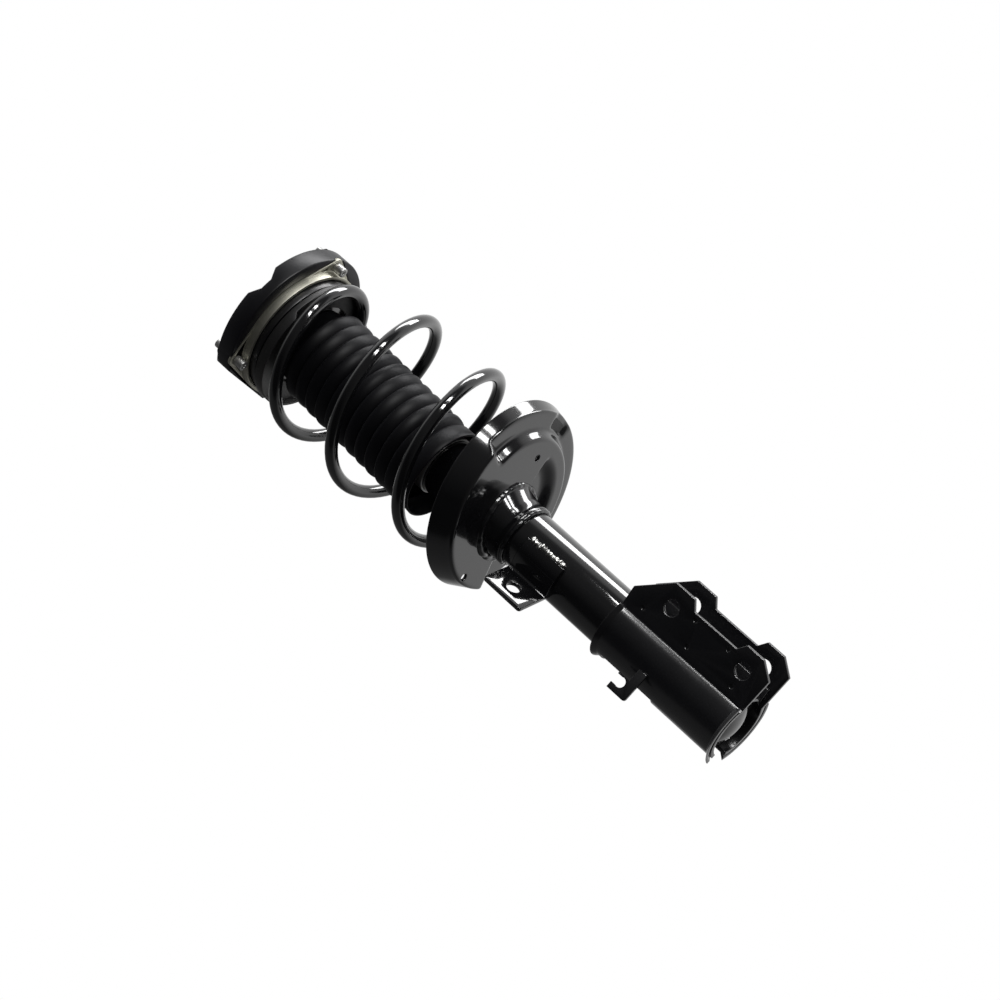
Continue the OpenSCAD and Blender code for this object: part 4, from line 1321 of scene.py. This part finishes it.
    def build_neck(self) -> None:
        """Build the collar with its neck that flares into the dish, and the two rough welds on it."""
        z_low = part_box("seat_collar")[0].z / MM
        inner, outer = self.bore_r, self.bore_r + self.sheet
        z_flare = z_low + self.neck_h
        chamfer, toe_r, toe_out, groove = 0.6, 1.2, 0.2, 0.3
        outline = [(inner, z_low + chamfer), (inner + chamfer, z_low)]
        outline += arc((outer + toe_out - toe_r, z_low + toe_r), toe_r, -80.0, 0.0, 5)
        outline += [(outer + toe_out, z_low + 3.0), (outer - groove, z_low + 4.6), (outer - groove, z_flare)]
        for k in range(1, 11):
            out = outer + toe_out + self.flare_r * (k / 10) ** 2.4
            outline.append((out, z_flare + self.flare_h * k / 10))
        outline.append((inner, z_flare + self.flare_h))
        bm = spun(outline, 144)
        normal = (self.placement.to_3x3() @ Vector((0, 0, 1))).normalized()
        at = self.placement @ Vector((0, 0, -self.drop + 1.0))
        every = bm.verts[:] + bm.edges[:] + bm.faces[:]
        cut = bmesh.ops.bisect_plane(bm, geom=every, plane_co=at, plane_no=normal, clear_outer=True)
        bmesh.ops.bridge_loops(bm, edges=[e for e in only(cut["geom_cut"], Edge) if e.is_boundary])
        bmesh.ops.recalc_face_normals(bm, faces=bm.faces)
        self.add(bm, "seat_neck", "black_paint", "seat_coat", "seat_collar", 50.0)
        ring = [Vector((0, 0, z_low - 0.6)) + polar(self.bore_r + 1.1, 360.0 * k / 240) for k in range(240)]
        bm = self.low_weld.laid(ring, True)
        self.add(bm, "neck_weld_low", "weld_metal", "painted_weld", "collar_weld", 80.0)
        ring = [polar(outer + 3.4, 360.0 * k / 300) for k in range(300)]
        for spot in ring:
            spot.z = at.z - (normal.x * (spot.x - at.x) + normal.y * (spot.y - at.y)) / normal.z - 0.8
        self.add(self.up_weld.laid(ring, True), "neck_weld_high", "weld_metal", "painted_weld", smooth=80.0)

    def build_pad(self) -> None:
        """Build the rubber pad that lies on the raised track."""
        inner, outer = self.track_r, self.face_r - 1.0
        low, high = self.sheet + 0.02, self.sheet + self.pad_t
        outline = rounded([(inner, low), (outer, low), (outer, high), (inner, high)], 0.8)
        bm = bmesh.new()
        verts, edges = drawn(bm, [(r, 0.0, z) for r, z in outline])
        start = Matrix.Rotation(math.radians(self.track_from + 1.5), 3, "Z")
        bmesh.ops.rotate(bm, cent=(0, 0, 0), matrix=start, verts=verts)
        bmesh.ops.contextual_create(bm, geom=edges)
        swing = bmesh.ops.spin(
            bm, geom=verts + edges, axis=(0, 0, 1), cent=(0, 0, 0), angle=math.radians(self.pad_arc), steps=48
        )
        bmesh.ops.contextual_create(bm, geom=only(swing["geom_last"], Edge))
        bmesh.ops.recalc_face_normals(bm, faces=bm.faces)
        bmesh.ops.transform(bm, matrix=self.placement, verts=bm.verts)
        self.add(bm, "spring_pad_lower", "rubber", "rubber", "lower_isolator")


# ---------------- strut body


@dataclass
class StrutBody(Assembly):
    """The damper's tube with everything that is welded to it.

    Attributes:
        crease: Width of the soft crease between each ear of the bracket and its wrap.
        crease_x: Distances of that crease from the strut's axis, along the ears.
        crease_y: Distances of that crease from the strut's axis, across the ears.
    """

    body: ClassVar[Body] = Body.STRUT

    crease: float = 3.6
    crease_x: Point = (19.0, 26.5)
    crease_y: Point = (18.0, 25.0)

    def bracket(self) -> None:
        """Build the bracket, whose ears run into its wrap along soft creases."""
        bm = cad_copy("knuckle_bracket")
        creases = [
            e for e in bm.edges
            if all(self.crease_x[0] < v.co.x < self.crease_x[1] for v in e.verts)
            and all(self.crease_y[0] < abs(v.co.y) < self.crease_y[1] for v in e.verts)
            and abs(e.verts[0].co.z - e.verts[1].co.z) > 30.0
            and len(e.link_faces) == 2 and math.degrees(e.calc_face_angle(0.0)) > 20.0
        ]
        bevel(bm, creases, self.crease, 6, clamp=True)
        bmesh.ops.remove_doubles(bm, verts=bm.verts, dist=1e-3)
        soften(bm, 0.5, 3)
        self.add(bm, "knuckle_bracket_shown", "black_paint", "bracket_coat", "knuckle_bracket")

    def build(self) -> None:
        """Build and dress the whole sub-assembly."""
        seat = LowerSeat(self.finishes)
        seat.build_dish()
        seat.build_pad()
        seat.build_neck()
        LinkTab(self.finishes).build()
        self.soften_nodes("tube_coat", "black_paint", 0.5, 2, "reserve_tube", "tube_dome")
        self.soften_nodes("bolt_steel", "bolt_steel", 0.5, 2, "tube_cap")
        self.bracket()
        self.soften_nodes("bracket_coat", "black_paint", 0.5, 3, "bracket_web")
        self.soften_nodes("bracket_coat", "black_paint", 0.4, 2, "hose_hook")
        self.dress("cast_alloy", "rod_guide")
        self.dress("sintered_bronze", "rod_bushing")
        self.dress("seal_rubber", "rod_seal")
        self.dress("drawn_steel", "pressure_tube", "base_valve")


# ---------------- studio


@dataclass(frozen=True)
class Lamp:
    """A long soft lamp that hangs over the strut and shows in reflections only.

    Attributes:
        name: Name of the lamp.
        angle: Angle from the camera's direction towards the side direction.
        swing: Angle along the strut, positive towards its upper end.
        width: Width across the strut, in metres.
        length: Length along the strut, in metres.
        power: Power in watts.
    """

    name: str
    angle: float
    swing: float
    width: float
    length: float
    power: float


@dataclass
class Studio:
    """Camera, light and floor.

    Attributes:
        forward: Direction in which the camera looks.
        side: Direction that is up before the camera is rolled.
        roll: Roll of the camera.
        place: Place of the camera, in metres.
        lens: Focal length.
        middle: Point that the lamps aim at, in metres.
        away: Distance of the lamps from that point, in metres.
        lamps: The lamps.
        stops: Place and shade of the room's tones, from behind the camera to the far side.
        floor_r: Radius of the floor, in metres.
        floor_z: Height of the floor, in metres.
    """

    forward: Vector = field(default_factory=lambda: Vector((-0.327, 0.858, 0.396)).normalized())
    side: Vector = field(default_factory=lambda: Vector((0.9345, 0.3561, 0.0)))
    roll: float = 42.0
    place: Vector = field(default_factory=lambda: Vector((0.70525, -1.8236, -1.1031)))
    lens: float = 90.0
    middle: Vector = field(default_factory=lambda: Vector((0.0, 0.0, -0.27)))
    away: float = 1.8
    lamps: tuple[Lamp, ...] = (
        Lamp("streak_near", 41.0, 8.0, 0.18, 1.2, 18.0),
        Lamp("streak_far", 53.0, 8.0, 0.18, 1.2, 18.0),
        Lamp("panel_back", 105.0, 14.0, 0.55, 1.9, 40.0),
    )
    stops: tuple[Point, ...] = ((0.0, 0.1), (0.3, 0.11), (0.37, 0.18), (0.43, 0.7), (0.5, 0.9), (1.0, 0.85))
    floor_r: float = 9.0
    floor_z: float = -1.5

    def __post_init__(self) -> None:
        """Work out the direction that is up for the camera before the roll."""
        self.up = (self.side - self.side.dot(self.forward) * self.forward).normalized()

    def camera(self) -> None:
        """Make the camera."""
        right = self.forward.cross(self.up).normalized()
        c, s = math.cos(math.radians(self.roll)), math.sin(math.radians(self.roll))
        data = bpy.data.cameras.new("camera")
        data.lens = self.lens
        data.sensor_width = 36.0
        camera = stand("camera", data)
        x, y = c * right + s * self.up, c * self.up - s * right
        camera.matrix_world = placed(x, y, -self.forward, self.place)
        bpy.context.scene.camera = camera

    def hang(self, lamp: Lamp) -> None:
        """Hang a lamp, turned towards the strut."""
        along = self.up.cross(self.forward).normalized()
        turn, lean = math.radians(lamp.angle), math.radians(lamp.swing)
        flat = math.cos(turn) * -self.forward + math.sin(turn) * self.up
        direction = (math.cos(lean) * flat + math.sin(lean) * along).normalized()
        data = bpy.data.lights.new(lamp.name, "AREA")
        data.shape = "RECTANGLE"
        data.size = lamp.length
        data.size_y = lamp.width
        data.energy = lamp.power
        x = (along - along.dot(direction) * direction).normalized()
        hung = stand(lamp.name, data)
        hung.matrix_world = placed(x, direction.cross(x), direction, self.middle + direction * self.away)
        hung.visible_diffuse = False

    def room(self) -> None:
        """Make the pale room: dark behind the camera, bright round its sides, and plain white to look at."""
        world = bpy.data.worlds.new("room")
        bpy.context.scene.world = world
        world.use_nodes = True
        world.node_tree.nodes.clear()
        nodes = Nodes(world.node_tree)
        look = nodes.add("TexCoord").outputs["Generated"]

        def towards(direction: Vector) -> Socket:
            """How far the look goes towards a direction, from -1 to 1."""
            inputs = {0: look, 1: direction}
            return nodes.add("VectorMath", inputs, operation="DOT_PRODUCT").outputs["Value"]

        depth = nodes.add("Math", {0: towards(self.forward), 1: 0.5, 2: 0.5}, operation="MULTIPLY_ADD")
        shades = nodes.add("ValToRGB", {"Fac": depth.outputs["Value"]})
        tones = shades.color_ramp.elements
        while len(tones) < len(self.stops):
            tones.new(0.5)
        for tone, (position, shade) in zip(tones, self.stops):
            tone.position = position
            tone.color = (shade, shade, shade, 1.0)
        fall = nodes.add("MapRange", {
            "Value": towards(self.side), "From Min": -0.55, "From Max": 0.2, "To Min": 0.12, "To Max": 1.0,
        })
        lit = nodes.add("Background", {"Color": shades.outputs["Color"], "Strength": fall.outputs["Result"]})
        seen = nodes.add("Background", {"Color": (1.0, 1.0, 1.0, 1.0)})
        eye = nodes.add("LightPath").outputs["Is Camera Ray"]
        backgrounds = {"Fac": eye, 1: lit.outputs["Background"], 2: seen.outputs["Background"]}
        nodes.add("OutputWorld", {"Surface": nodes.add("MixShader", backgrounds).outputs["Shader"]})

    def floor(self) -> None:
        """Lay the pale floor, well below the camera. Reflections and soft light don't see it."""
        bm = bmesh.new()
        bmesh.ops.create_circle(bm, cap_ends=True, segments=96, radius=self.floor_r)
        bmesh.ops.translate(bm, vec=(0, 0, self.floor_z), verts=bm.verts)
        material, nodes, shader = new_material("floor")
        nodes.feed(shader, {
            "Base Color": (0.85, 0.85, 0.85, 1.0), "Roughness": 0.9,
            "Emission Color": (1.0, 1.0, 1.0, 1.0), "Emission Strength": 0.4,
        })
        floor = finished(bm, "floor")
        floor.data.materials.append(material)
        floor.visible_glossy = False
        floor.visible_diffuse = False

    def build(self) -> None:
        """Set up the whole studio."""
        self.camera()
        self.room()
        self.floor()
        for lamp in self.lamps:
            self.hang(lamp)
        bpy.context.scene.view_settings.view_transform = "Standard"


def main() -> None:
    """Build the strut's looks in order."""
    logging.basicConfig(level=logging.INFO, format="%(name)s %(message)s")
    finishes = build_finishes()
    steps: tuple[tuple[str, Callable[[], None]], ...] = (
        ("top mount", TopMount(finishes).build),
        ("upper seat", UpperSeat(finishes).build),
        ("strut body", StrutBody(finishes).build),
        ("studio", Studio().build),
    )
    for label, step in steps:
        LOG.info("building the %s", label)
        step()


if __name__ == "__main__":
    main()
